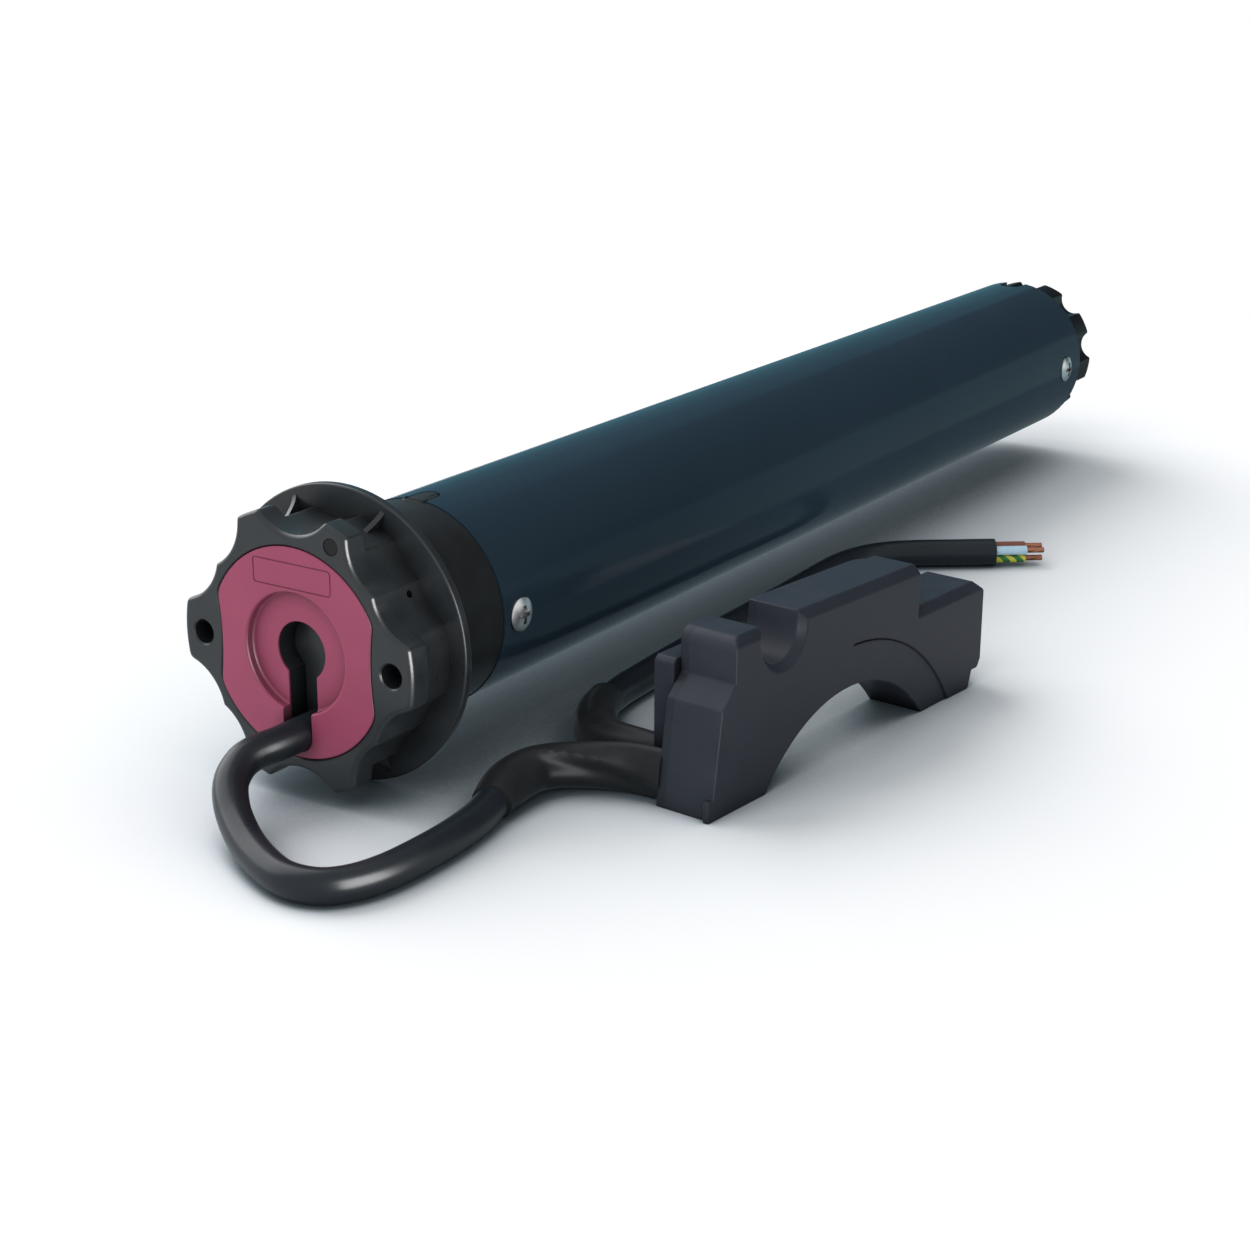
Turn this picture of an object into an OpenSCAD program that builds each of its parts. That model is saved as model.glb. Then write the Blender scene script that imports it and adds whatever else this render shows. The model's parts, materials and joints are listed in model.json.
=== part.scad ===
// Tubular roller blind motor with its external control module, in millimetres.
// The motor axis runs along +X and +Z is up.
// The origin is the centre of the head's front face, on the motor axis.

/* [Head] */
// Spacing of the two fixing holes
hole_spacing = 48; // [44:0.5:52]
// Diameter of the fixing holes, tapping size for M6
hole_d = 5; // [3:0.1:6]
// Depth of the fixing holes
hole_depth = 12; // [8:0.5:13]
// Wall of the head outside the fixing holes
lobe_wall = 2.6; // [1.5:0.1:4]
// Depth of the valleys between the lobes
valley_depth = 4.9; // [4:0.1:5.5]
// Radius of the scallops that form the valleys
scallop_r = 11.3; // [10:0.1:12]
// Depth of the head from its front face to the flange
head_depth = 14.6; // [13.5:0.1:20]
// Depth of the front rim of the lobes
rim_depth = 5.5; // [3:0.1:8]
// Depth cut away behind the rim of all lobes
rim_step = 2; // [0.5:0.1:2.2]
// Depth cut away flat behind the rim of the four narrow lobes
relief_depth = 3.1; // [2:0.1:4]
// Thickness of the gussets behind the narrow lobes
gusset_t = 1.6; // [1:0.1:3]
// Length of the gussets along the axis
gusset_len = 4; // [2:0.1:6]
// Diameter of the round mark on a narrow lobe
mark_d = 2.6; // [1.5:0.1:3]
// Diameter of the small hole in the head's side
side_hole_d = 1.6; // [1:0.1:2.5]
// Rim of the flange beyond the lobes
flange_rim = 1.9; // [1:0.1:4]
// Thickness of the flange
flange_t = 2.1; // [1.5:0.1:4]
// Radius of the spigot behind the flange
spigot_r = 15; // [13:0.1:15.5]
// Length of the spigot behind the flange
spigot_len = 12; // [8:0.5:14]
// Shank diameter of the head screws
head_screw_d = 3; // [2.5:0.1:3.5]
// Head diameter of the head screws
head_screw_head_d = 5.4; // [4.5:0.1:6]
// Head height of the head screws
head_screw_head_h = 2.2; // [1.5:0.1:3]
// Depth of the head screws in the collar
head_screw_bite = 10; // [6:0.5:13]

/* [Face plate] */
// Land of the head between the face plate and the valleys
plate_land = 2.4; // [1.5:0.1:3.5]
// Thickness of the face plate
plate_t = 2.5; // [2:0.1:3.5]
// Land between the plate's waist and the fixing holes
waist_land = 2.5; // [1.5:0.1:3.5]
// Radius of the concave waist
waist_r = 60; // [50:1:90]
// Radius of the round recess
recess_r = 12.5; // [11:0.1:14]
// Depth of the round recess
recess_depth = 1.6; // [1:0.1:1.8]
// Radius of the keyhole
key_r = 6.1; // [5.5:0.1:7]
// Clearance of the lead in the keyhole's slot, each side
key_slot_gap = 0.15; // [0.1:0.05:0.5]
// Width of the framed label field
label_w = 20; // [14:0.5:22]
// Height of the framed label field
label_h = 5.6; // [4:0.1:6]
// Distance of the label field's centre from the plate's edge
label_drop = 5.9; // [5:0.1:7]
// Width of the label field's line
label_line = 0.5; // [0.3:0.1:0.8]
// Depth of the label field's line
label_depth = 0.3; // [0.2:0.1:0.6]

/* [Collar and tube] */
// Outside diameter of the motor tube
tube_d = 45; // [44.4:0.1:46]
// Length of the motor tube
tube_len = 300.3; // [285:0.1:340]
// Wall of the motor tube
tube_wall = 1.2; // [1:0.1:1.5]
// Step of the collar below the tube's surface
collar_drop = 0.2; // [0:0.1:0.6]
// Length of the collar
collar_len = 22.5; // [19:0.5:30]
// Depth at which the terminal board sits in the collar
board_seat = 15.3; // [14.5:0.1:17]
// Length of the collar's insert in the tube
insert_len = 18; // [14:0.5:24]
// Width of the collar's tongue
tongue_w = 5; // [4:0.1:8]
// Length of the collar's tongue
tongue_len = 6.5; // [5:0.1:9]
// Width of the notch at the drive end of the tube
notch_w = 6.2; // [5:0.1:9]
// Length of the notch at the drive end of the tube
notch_len = 7.6; // [5:0.1:8.4]

/* [Tube screws] */
// Distance of the head end screws from the tube's end
near_screw_inset = 5.6; // [5:0.1:9]
// Distance of the drive end screws from the tube's end
far_screw_inset = 10.8; // [9:0.1:13]
// Head diameter of the tube screws
tube_screw_head_d = 7.3; // [6:0.1:8]
// Head height of the tube screws
tube_screw_head_h = 1.6; // [1.2:0.1:2.5]
// Shank diameter of the tube screws
tube_screw_d = 4; // [3:0.1:4.5]
// Length of the tube screws under the head
tube_screw_len = 4.9; // [4.5:0.1:5]
// Width of the cross recess
cross_w = 1; // [0.6:0.1:1.4]
// Length of the cross recess
cross_len = 4; // [3:0.1:4.5]
// Depth of the cross recess
cross_depth = 1; // [0.6:0.1:1.1]

/* [Capacitor] */
// Diameter of the run capacitor
capacitor_d = 30; // [26:0.5:30.5]
// Length of the run capacitor
capacitor_len = 42; // [30:1:60]
// Floor of the capacitor holder
holder_floor = 3; // [2:0.1:5]
// Free length at the open end of the holder
holder_lip = 2.8; // [1:0.1:6]
// Diameter of the inner wires
wire_d = 1.4; // [1:0.1:1.6]
// Pitch of the inner wires
wire_pitch = 2.2; // [1.9:0.1:2.6]
// Gap between the capacitor and the wires below it
wire_gap = 0.4; // [0.2:0.1:0.8]
// Length of the terminal block
block_len = 8; // [5:0.5:12]
// Width of the terminal block
block_w = 16; // [10:0.5:22]
// Height of the terminal block
block_h = 8; // [5:0.5:10]

/* [Motor] */
// Thickness of the circuit boards
board_t = 1.6; // [1:0.1:2]
// Gap between the encoder board and the tube
encoder_board_gap = 1.3; // [0.5:0.1:2]
// Gap between the encoder board and its magnet
encoder_gap = 0.8; // [0.5:0.1:1]
// Radius of the encoder magnet
magnet_r = 6; // [5:0.1:8]
// Thickness of the encoder magnet
magnet_t = 4; // [3:0.1:6]
// Gap between the encoder magnet and the rear end shield
magnet_back_gap = 4; // [2:0.1:6]
// Thickness of the end shields
shield_t = 8; // [7.8:0.1:10]
// Web of the end shields beside the bearing
shield_web = 1; // [0.7:0.1:2]
// Outside diameter of the bearings
bearing_d = 22; // [20:0.5:24]
// Diameter of the rotor shaft
shaft_d = 8; // [7.5:0.1:8.5]
// Length of the stator core
stator_len = 50; // [40:1:65]
// Depth of the stator's tooth tips
tooth_tip = 1.7; // [1:0.1:2.5]
// Air gap between rotor and stator
air_gap = 0.3; // [0.2:0.05:0.5]
// Number of stator slots
slot_count = 12; // [8:1:12]
// Radius of the stator slots
slot_r = 1.8; // [1.6:0.1:1.9]
// Land between the stator bolts and the slots
bolt_land = 1.1; // [0.6:0.1:1.5]
// Width of the slot mouths
slot_mouth = 1.2; // [0.8:0.1:2]
// Length of the winding heads
winding_head = 11; // [8:0.5:14]
// Gap between a winding head and its end shield
winding_gap = 1; // [0.5:0.1:3]
// Length of the rotor's end rings
end_ring_len = 5; // [3:0.1:6]
// Diameter of the stator bolts
stator_bolt_d = 3; // [2.5:0.1:3.2]
// Land outside the stator bolts
bolt_edge = 0.5; // [0.4:0.1:1]

/* [Brake] */
// Gap between the brake disc and its two friction faces
brake_gap = 0.15; // [0.1:0.05:0.2]
// Gap between the brake disc and the guide posts
disc_clear = 0.8; // [0.4:0.1:2]
// Thickness of the brake disc
brake_disc_t = 3; // [2:0.1:4]
// Gap between the armature and the tube
armature_gap = 1.1; // [0.5:0.1:1.5]
// Thickness of the armature
armature_t = 2.5; // [2:0.1:4]
// Release travel of the armature
brake_travel = 0.4; // [0.3:0.05:0.6]
// Gap left between the released armature and the magnet
magnet_face_gap = 0.2; // [0.1:0.05:0.4]
// Thickness of the brake magnet
brake_magnet_t = 11.6; // [10:0.1:14]
// Width of the brake coil
coil_w = 5; // [4:0.1:6]
// Land between the brake coil and the springs
coil_land = 3; // [2:0.1:4]
// Depth of the brake coil
coil_depth = 7; // [5:0.1:8]
// Land of the armature outside the guide posts
post_land = 0.9; // [0.6:0.1:1.5]
// Diameter of the guide posts
brake_post_d = 3; // [2.5:0.1:3.2]
// Diameter of the brake springs
brake_spring_d = 3.6; // [3:0.1:4]
// Wall of the brake springs
brake_spring_wall = 0.8; // [0.5:0.1:1.2]
// Depth of the brake springs in the magnet
brake_spring_depth = 6; // [4:0.1:8]

/* [Gearbox] */
// Wall of the gear case outside the ring's pitch circle
ring_wall = 3.2; // [2.6:0.1:4]
// Backlash of the teeth at the pitch circle
backlash = 0.2; // [0.15:0.05:0.3]
// Rear wall of the gear case
case_wall = 4; // [3:0.1:6]
// Side play of the gears
gear_play = 0.5; // [0.3:0.1:0.9]
// Width of the first stage planets
stage_1_w = 14; // [10:0.5:20]
// Width of the second stage planets
stage_2_w = 18; // [12:0.5:24]
// Thickness of the first carrier
carrier_1_t = 5; // [4:0.1:8]
// Thickness of the output carrier
carrier_2_t = 6; // [4:0.1:8]
// Land of the carriers outside the planet pins
carrier_land = 2.2; // [1.5:0.1:3]
// Diameter of the planet pins
planet_pin_d = 5; // [4:0.1:6]
// Diameter of the pinion's spigot in the rotor shaft
pinion_spigot_d = 3.6; // [3:0.1:4.4]
// Length of the pinion's spigot in the rotor shaft
pinion_spigot_len = 6; // [4:0.1:10]

/* [Output] */
// Length of the end cap in the tube
end_cap_len = 27.9; // [22:0.1:34]
// Diameter of the output shaft
output_d = 12; // [11:0.1:13]
// Distance across the output shaft's flats
output_flats = 10; // [9.4:0.1:10.8]
// Wall of the output bush
bush_wall = 3; // [2:0.1:4]
// Gap between the tube's end and the drive wheel
wheel_gap = 0.7; // [0.5:0.1:0.9]
// Step of the drive wheel below the tube's surface
wheel_drop = 1.6; // [1:0.1:2]
// Width of the drive wheel
wheel_w = 11.6; // [8:0.1:14]
// Number of scallops of the drive wheel
wheel_scallops = 9; // [6:1:10]
// Radius of the drive wheel's scallops
wheel_scallop_r = 4.3; // [3:0.1:4.5]
// Depth of the drive wheel's scallops
wheel_scallop_depth = 2.8; // [2:0.1:4]
// Radius of the recess in the drive wheel's end
wheel_recess_r = 9; // [8.5:0.1:12]
// Depth of the recess in the drive wheel's end
wheel_recess_depth = 3.6; // [3.4:0.1:4.5]
// Diameter of the drive wheel's washer
washer_d = 16; // [14.5:0.1:16.5]
// Thickness of the drive wheel's washer
washer_t = 1.2; // [0.8:0.1:1.4]
// Diameter of the drive wheel's screw
wheel_screw_d = 5; // [4:0.1:6]
// Head diameter of the drive wheel's screw
wheel_screw_head_d = 9; // [7:0.1:10]
// Head height of the drive wheel's screw
wheel_screw_head_h = 2; // [1.5:0.1:2]
// Depth of the drive wheel's screw in the shaft
wheel_screw_bite = 10; // [6:0.5:14]

/* [Module] */
// Length of the module
module_len = 104.5; // [102:0.5:112]
// Depth of the module's case
module_case_d = 11.8; // [10.5:0.1:16]
// Thickness of the module's back cover
module_cover_t = 2; // [1.5:0.1:3]
// Wall of the module's case
module_wall = 2; // [1.5:0.1:2.4]
// Height of the module at its left end
module_h_left = 35.8; // [35:0.1:38]
// Fall of the top from the left end to the end of the raised part
module_fall = 1; // [0:0.1:3]
// Length to the end of the raised part
module_raised_len = 76.5; // [74:0.5:80]
// Height of the low part at the right end
module_low_h = 24.6; // [22:0.1:26]
// Inset of the upper left end
module_step = 8.7; // [7:0.1:9.5]
// Chamfer of the right end's upper edge
module_edge = 2.3; // [1:0.1:3]
// Radius of the upper left edge
module_round = 3; // [1:0.1:4]
// Chamfer of the front's upper edges
front_chamfer = 1.8; // [0.5:0.1:1.9]
// Chamfer round the front of the notch
notch_chamfer = 1.6; // [0.5:0.1:1.9]
// Place of the arch's centre along the module
arch_x = 49.5; // [48:0.1:51]
// Half width of the arch at the floor
arch_half_w = 30; // [27:0.1:31]
// Height of the arch
arch_h = 14.5; // [11:0.1:16]
// Radius of the stepped arc above the arch
arc_step_r = 47.3; // [44:0.1:49]
// Depth of the stepped arc
arc_step_depth = 0.5; // [0.2:0.1:1]
// Place of the round notch along the module
saddle_x = 25; // [24.5:0.1:26]
// Radius of the round notch
saddle_r = 6.6; // [5.5:0.1:7]
// Depth of the round notch's centre below the top
saddle_depth = 2.8; // [1.5:0.1:4]
// Place of the cable entry along the module
entry_x = 6.6; // [6.2:0.1:7]
// Length of the cable entry
entry_len = 9.4; // [9:0.1:9.8]
// Depth of the cable entry behind the cover
entry_depth = 5; // [4:0.1:7]
// Drop of the cable entry's top below the module's top
entry_drop = 6.4; // [6.2:0.1:11]
// Diameter of the module's screws
module_screw_d = 2.2; // [1.8:0.1:2.5]
// Head diameter of the module's screws
module_screw_head_d = 4.2; // [3.6:0.1:4.8]
// Head height of the module's screws
module_screw_head_h = 1.4; // [1:0.1:2]
// Depth of the module's screws in the case
module_screw_bite = 7; // [5:0.1:8]
// Diameter of the screw posts in the module
module_post_d = 5; // [4.4:0.1:5.4]
// Length of a relay
relay_len = 10; // [8:0.1:11.5]
// Diameter of the aerial rod
aerial_d = 1.2; // [0.8:0.1:1.4]
// Length of the terminal strip
terminal_len = 4.4; // [4:0.1:4.6]
// Height of the terminal strip
terminal_h = 14; // [10:0.5:16]

/* [Leads] */
// Diameter of the motor lead
motor_lead_d = 7; // [6:0.1:7.2]
// Diameter of the supply lead
supply_lead_d = 7.2; // [6:0.1:7.4]
// Diameter of a core
core_d = 2.4; // [2:0.1:2.6]
// Diameter of a core's copper
copper_d = 1.5; // [1:0.1:1.8]
// Length of the stripped cores
core_len = 8.4; // [5:0.1:20]
// Length of the bare copper ends
copper_len = 4.6; // [3:0.1:8]
// Gap between two cores
core_gap = 0.55; // [0.4:0.05:0.7]

/* [Hidden] */
$fn = 96;

// Clearance of seated pieces, each side
seat_gap = 0.1;
// Clearance of screws in their holes, each side
screw_gap = 0.05;
// Running clearance of shafts, each side
run_gap = 0.05;
// Clearance of the rotor shaft in walls that it only passes, each side
shaft_clear = 1;
// Small length by which cuts pass the faces they cut
cut = 1;

// Head radii, from the fixing holes outwards
lobe_r = hole_spacing / 2 + hole_d / 2 + lobe_wall;
valley_r = lobe_r - valley_depth;
body_r = lobe_r - rim_step;
relief_r = lobe_r - relief_depth;
mark_inset = 3.5;
mark_r = lobe_r - mark_inset;
mark_depth = 0.2;
side_hole_land = 3.8;
side_hole_x = head_depth - side_hole_land;
side_hole_depth = 2;
flange_r = lobe_r + flange_rim;
plate_r = valley_r - plate_land;
plate_half_w = hole_spacing / 2 - hole_d / 2 - waist_land;
label_z = plate_r - label_drop;
gusset_drop = 1.5;
gusset_r = flange_r - gusset_drop;

// Head pattern: lobes at 0, 67.5, 112.5, 180, 247.5 and 292.5 degrees
lobe_side_angle = 22.5;
twin_angle = 37;
twin_split = 7.75;
narrow_lobes = [for (s = [-1, 1], c = [90, 270]) c + s * lobe_side_angle];
twin_scallops = [for (m = [0, 180], s = [-1, 1], d = [-1, 1]) m + s * (twin_angle + d * twin_split)];
scallops = concat(twin_scallops, [90, 270]);
mark_angle = 113.4;
side_hole_angle = 57.3;
head_screw_angles = [45, 135, 225, 315];

// Lead outlet in the head
lead_exit_z = -17;
key_slot_w = motor_lead_d + 2 * key_slot_gap;
plug_face_x = 7;
plug_floor = 2;
plug_back_x = head_depth - plug_floor;
plug_step = 0.4;
plug_pin_r = key_r - plug_step;

// Stations along the motor, from the head into the tube
collar_x = head_depth + flange_t;
tube_x = collar_x + collar_len;
board_x = collar_x + board_seat;
insert_end = tube_x + insert_len;

// Stations from the drive end back to the capacitor, which leave the rest of the tube to the wires
tube_end = tube_x + tube_len;
case_end = tube_end - end_cap_len;
carrier_2_x = case_end - gear_play - carrier_2_t;
stage_2_x = carrier_2_x - gear_play - stage_2_w;
carrier_1_x = stage_2_x - gear_play - carrier_1_t;
stage_1_x = carrier_1_x - gear_play - stage_1_w;
case_x = stage_1_x - gear_play - case_wall;
brake_magnet_x = case_x - brake_magnet_t;
armature_x = brake_magnet_x - magnet_face_gap - brake_travel - armature_t;
brake_x = armature_x - 2 * brake_gap - brake_disc_t;
front_shield_x = brake_x - shield_t;
stator_end = front_shield_x - winding_gap - winding_head;
stator_x = stator_end - stator_len;
rear_shield_x = stator_x - winding_head - winding_gap - shield_t;
magnet_x = rear_shield_x - magnet_back_gap - magnet_t;
encoder_x = magnet_x - encoder_gap - board_t;
holder_len = holder_floor + capacitor_len + holder_lip;
holder_x = encoder_x - seat_gap - holder_len;
wheel_x = tube_end + wheel_gap;
wheel_end = wheel_x + wheel_w;
wheel_floor_x = wheel_end - wheel_recess_depth;

// Radii inside the tube
tube_r = tube_d / 2;
tube_in_r = tube_r - tube_wall;
inner_r = tube_in_r - seat_gap;
collar_r = tube_r - collar_drop;
head_screw_r = (spigot_r + collar_r) / 2;
wire_drop = (capacitor_d + wire_d) / 2 + wire_gap;
wire_clear = 0.3;
insert_bore_r = wire_drop + wire_d / 2 + wire_clear;
encoder_board_r = tube_in_r - encoder_board_gap;
stator_bolt_r = inner_r - stator_bolt_d / 2 - bolt_edge;
slot_circle_r = stator_bolt_r - stator_bolt_d / 2 - bolt_land - slot_r;
stator_bore_r = slot_circle_r - slot_r - tooth_tip;
armature_r = tube_in_r - armature_gap;
brake_post_r = armature_r - brake_post_d / 2 - post_land;
brake_disc_r = brake_post_r - brake_post_d / 2 - disc_clear;
coil_r_out = brake_post_r - brake_spring_d / 2 - coil_land;
coil_r_in = coil_r_out - coil_w;
wheel_r = tube_r - wheel_drop;
shaft_r = shaft_d / 2;
bearing_r = bearing_d / 2;
rotor_r = stator_bore_r - air_gap;
holder_bore_r = capacitor_d / 2 + seat_gap;
wire_channel_w = 3 * wire_pitch + wire_d;
output_r = output_d / 2;
bush_r = output_r + run_gap + bush_wall;
spot_cut = 0.05;
spot_y = sqrt(pow(tube_r, 2) - pow(tube_screw_head_d / 2 + seat_gap, 2)) - spot_cut;
dome_edge_share = 0.4;

// Planetary gears: the sum of the sun's and the ring's teeth divides by the three planets
sun_teeth = 9;
planet_teeth = 18;
ring_teeth = sun_teeth + 2 * planet_teeth;
ring_pitch_r = inner_r - ring_wall;
gear_module = 2 * ring_pitch_r / ring_teeth;
pressure_angle = 25;
addendum = 0.8 * gear_module;
dedendum = 1.05 * gear_module;
orbit_r = gear_module * (sun_teeth + planet_teeth) / 2;
planet_angles = [90, 210, 330];
pin_r = planet_pin_d / 2;
carrier_r = orbit_r + pin_r + carrier_land;
wheel_turn = 171;

// Brake posts and springs alternate round the axis
post_angles = [30, 150, 270];
spring_angles = [90, 210, 330];

// Floor under the flange, and the place of the module on it
floor_z = -flange_r;
module_x = 34.5;
module_y = -74.4;
module_turn = -5.2;
module_depth = module_case_d + module_cover_t;
toe_h = 4.6;
toe_depth = 1.5;
foot_x = 1;
round_steps = 6;
lean_x = 4.3;
lean_h = 22.2;
step_h = 26.6;
foot_end = module_len - 5;
tab_h = 4;
tab_top = 6;
tab_edge = 1.3;
entry_edge = 1;
module_h_right = module_h_left - module_fall;
entry_h = module_h_left - entry_drop;
saddle_h = module_h_left - saddle_depth;
arch_r = (pow(arch_half_w, 2) + pow(arch_h, 2)) / (2 * arch_h);
arch_z = arch_h - arch_r;
corner_r = 8;
post_inset = 5;
post_drop = 3.6;
post_shift = 2;
post_fall = 11;
post_end = 9;
post_sink = 0.6;
post_places = [
    [module_step + post_inset, module_h_left - post_drop],
    [saddle_x - post_shift, saddle_h - saddle_r - post_fall],
    [module_raised_len - module_wall - module_post_d / 2 + post_sink, module_h_right - post_fall / 2],
    [module_len - post_end, tab_top + tab_h]
];
// Room round the pieces in the module
fit_gap = 0.4;
pcb_x = saddle_x + saddle_r + module_wall + fit_gap;
pcb_end = module_raised_len - module_wall - module_post_d + post_sink - fit_gap;
pcb_len = pcb_end - pcb_x;
pcb_z = arch_h + module_wall + fit_gap;
pcb_top = module_h_right - module_wall - module_edge - fit_gap;
pcb_h = pcb_top - pcb_z;
pcb_back = module_case_d - fit_gap / 2;
pcb_front = pcb_back - board_t;
part_inset = 1;
relay_h = pcb_h - 2 * part_inset - aerial_d;
relay_depth = pcb_front - module_wall - part_inset;
relay_step = relay_len + part_inset;
transformer_x = pcb_x + part_inset + 2 * relay_step;
transformer_len = pcb_end - part_inset - transformer_x;
terminal_lift = 4;

// Route of the motor lead from its plug in the head to the start of its sleeve
motor_lead_route = [
    [7, 0, -17], [0, 0, -17], [-5, 0.6, -17.3], [-10, 2, -17.8], [-14, 2.4, -18.8],
    [-18.5, 1, -20.6], [-22, -1.8, -22.6], [-25.5, -6.2, -24.8], [-30, -13.5, -26.7],
    [-34.3, -22.5, -27.5], [-36, -29, -27.5], [-34.6, -34.8, -27.5], [-30, -38.6, -27.5],
    [-23, -40.6, -27.5], [-14, -41.2, -27.5], [-4, -41, -27.5], [6, -39.7, -27.5], [14, -37.6, -27.2]
];
// Route of the motor lead's sleeve into the module, with half width and half height at each point
motor_sleeve_route = [
    [13, -37.9, -27.2], [18, -36.6, -26.7], [23.5, -35.8, -26.3], [29, -36.4, -26],
    [33, -39.6, -25.7], [36, -44.2, -25.5], [38.2, -49.5, -25.3], [39.4, -54.5, -25.2], [39.6, -61.2, -25.2]
];
motor_sleeve_sizes = [
    [4.2, 3.7], [4.9, 4.2], [5.4, 4.4], [5.4, 4.5],
    [4.9, 4.6], [4.2, 4.8], [3.4, 5.1], [2.8, 5.4], [2.5, 5.6]
];
// Route of the supply lead's sleeve from the cable entry, with half width and half height
supply_sleeve_route = [
    [47.3, -57.2, -25], [48, -49.5, -25.2], [49.2, -42.5, -25.5], [52, -37.2, -25.8],
    [57.5, -32.4, -26], [64.5, -28.2, -26.4], [72.5, -25, -26.9]
];
supply_sleeve_sizes = [
    [3.8, 4.6], [4.4, 4.6], [5, 4.5], [5.2, 4.4], [5, 4.3], [4.5, 4.1], [4.1, 3.9]
];
// Route of the supply lead from its sleeve to its stripped end
supply_lead_route = [
    [71.5, -25.4, -27.3], [80, -23.9, -27.4], [89, -23.3, -27.4], [100, -22.6, -27.4], [114, -22, -27.4],
    [129, -21.7, -27.4], [144, -21.4, -27.4], [159, -21, -27.4], [172, -20.4, -27.4], [183, -20, -27.4],
    [192, -20.4, -27.4], [200, -22.4, -27.4], [206.5, -26.2, -27.4], [212, -32, -27.4],
    [217.5, -39.4, -27.4], [224.2, -48.2, -27.4]
];
core_circle_r = (core_d + core_gap) / sqrt(3);
core_angles = [90, 210, 330];
core_colors = [[0.35, 0.18, 0.1], [0.2, 0.5, 0.8], [0.5, 0.75, 0.1]];

// Extrudes a flat shape along the motor axis, its x to Y and its y to Z
module along_x(x, len) {
    translate([x, 0, 0]) rotate([90, 0, 90]) linear_extrude(len) children();
}

// Round bar on the motor axis
module bar(x, len, r) {
    translate([x, 0, 0]) rotate([0, 90, 0]) cylinder(h = len, r = r);
}

// Round bars on a circle round the motor axis
module bars(x, len, r, circle_r, angles) {
    for (a = angles) rotate([a, 0, 0]) translate([0, circle_r, 0]) bar(x, len, r);
}

// Ring on the motor axis
module ring(x, len, r_out, r_in) {
    difference() {
        bar(x, len, r_out);
        bar(x - cut, len + 2 * cut, r_in);
    }
}

// Involute half angle of a tooth at a radius, for a tooth that is as wide as its space less the backlash
function involute(a) = tan(a) * 180 / PI - a;
function tooth_half(teeth, r, slack) =
    let (pitch = gear_module * teeth / 2, base = pitch * cos(pressure_angle))
    90 / teeth - slack / pitch * 90 / PI + involute(pressure_angle)
        - involute(acos(min(1, base / max(r, base))));

function polar(r, a) = [r * cos(a), r * sin(a)];

// Outline of a gear with straight flanks between root and tip, with its first tooth at the start angle
function gear_outline(teeth, root, tip, slack, start) = [
    for (i = [0 : teeth - 1])
        let (a = start + i * 360 / teeth, h_root = tooth_half(teeth, root, slack),
             h_tip = tooth_half(teeth, tip, slack))
        each [
            polar(root, a - h_root), polar(tip, a - h_tip),
            polar(tip, a + h_tip), polar(root, a + h_root)
        ]
];

function outer_gear(teeth, start) =
    let (pitch = gear_module * teeth / 2)
    gear_outline(teeth, pitch - dedendum, pitch + addendum, backlash, start);

// Hollow of the ring teeth: its spaces are teeth widened by the backlash
function ring_hollow(start) =
    gear_outline(ring_teeth, ring_pitch_r - addendum, ring_pitch_r + dedendum, -backlash, start);

// Start angles that put sun, planets and ring in mesh, with a sun tooth at angle 0
function planet_start(at) = at + 180 + 180 / planet_teeth + at * sun_teeth / planet_teeth;
ring_start = let (at = planet_angles[0]) at + (planet_start(at) - at) * planet_teeth / ring_teeth;

// Sweep of an oval section along a route, as one closed solid
function unit(v) = v / norm(v);
function tangent(p, i) = unit(p[min(i + 1, len(p) - 1)] - p[max(i - 1, 0)]);
function oval(p, i, size, sides) =
    let (t = tangent(p, i), side = unit(cross([0, 0, 1], t)), up = cross(t, side))
    [
        for (k = [0 : sides - 1])
            let (a = 360 * k / sides)
            p[i] + side * size[0] * cos(a) + up * size[1] * sin(a)
    ];

module sweep(route, sizes, sides = 12) {
    n = len(route);
    rings = [for (i = [0 : n - 1]) each oval(route, i, sizes[i], sides)];
    first = [[for (k = [sides - 1 : -1 : 0]) k]];
    last = [[for (k = [0 : sides - 1]) (n - 1) * sides + k]];
    walls = [
        for (i = [0 : n - 2], k = [0 : sides - 1])
            let (a = i * sides + k, b = i * sides + (k + 1) % sides)
            each [[a, b, b + sides], [a, b + sides, a + sides]]
    ];
    polyhedron(rings, concat(first, walls, last));
}

// A round lead along a route
module lead(route, d) {
    sweep(route, [for (p = route) [d / 2, d / 2]]);
}

// Flat outline of the head with its lobes out to a radius
module star(r) {
    difference() {
        circle(r);
        for (a = scallops) rotate(a) translate([valley_r + scallop_r, 0]) circle(scallop_r);
    }
}

// Flat outline of the face plate, grown by a clearance
module plate_outline(grow) {
    difference() {
        circle(plate_r + grow);
        for (s = [-1, 1]) translate([s * (plate_half_w + waist_r), 0]) circle(waist_r - grow);
    }
}

// Flat outline of the keyhole, grown by a clearance
module keyhole(grow) {
    circle(key_r + grow);
    translate([-key_slot_w / 2 - grow, lead_exit_z]) square([key_slot_w + 2 * grow, -lead_exit_z]);
    translate([0, lead_exit_z]) circle(key_slot_w / 2 + grow);
}

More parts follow.
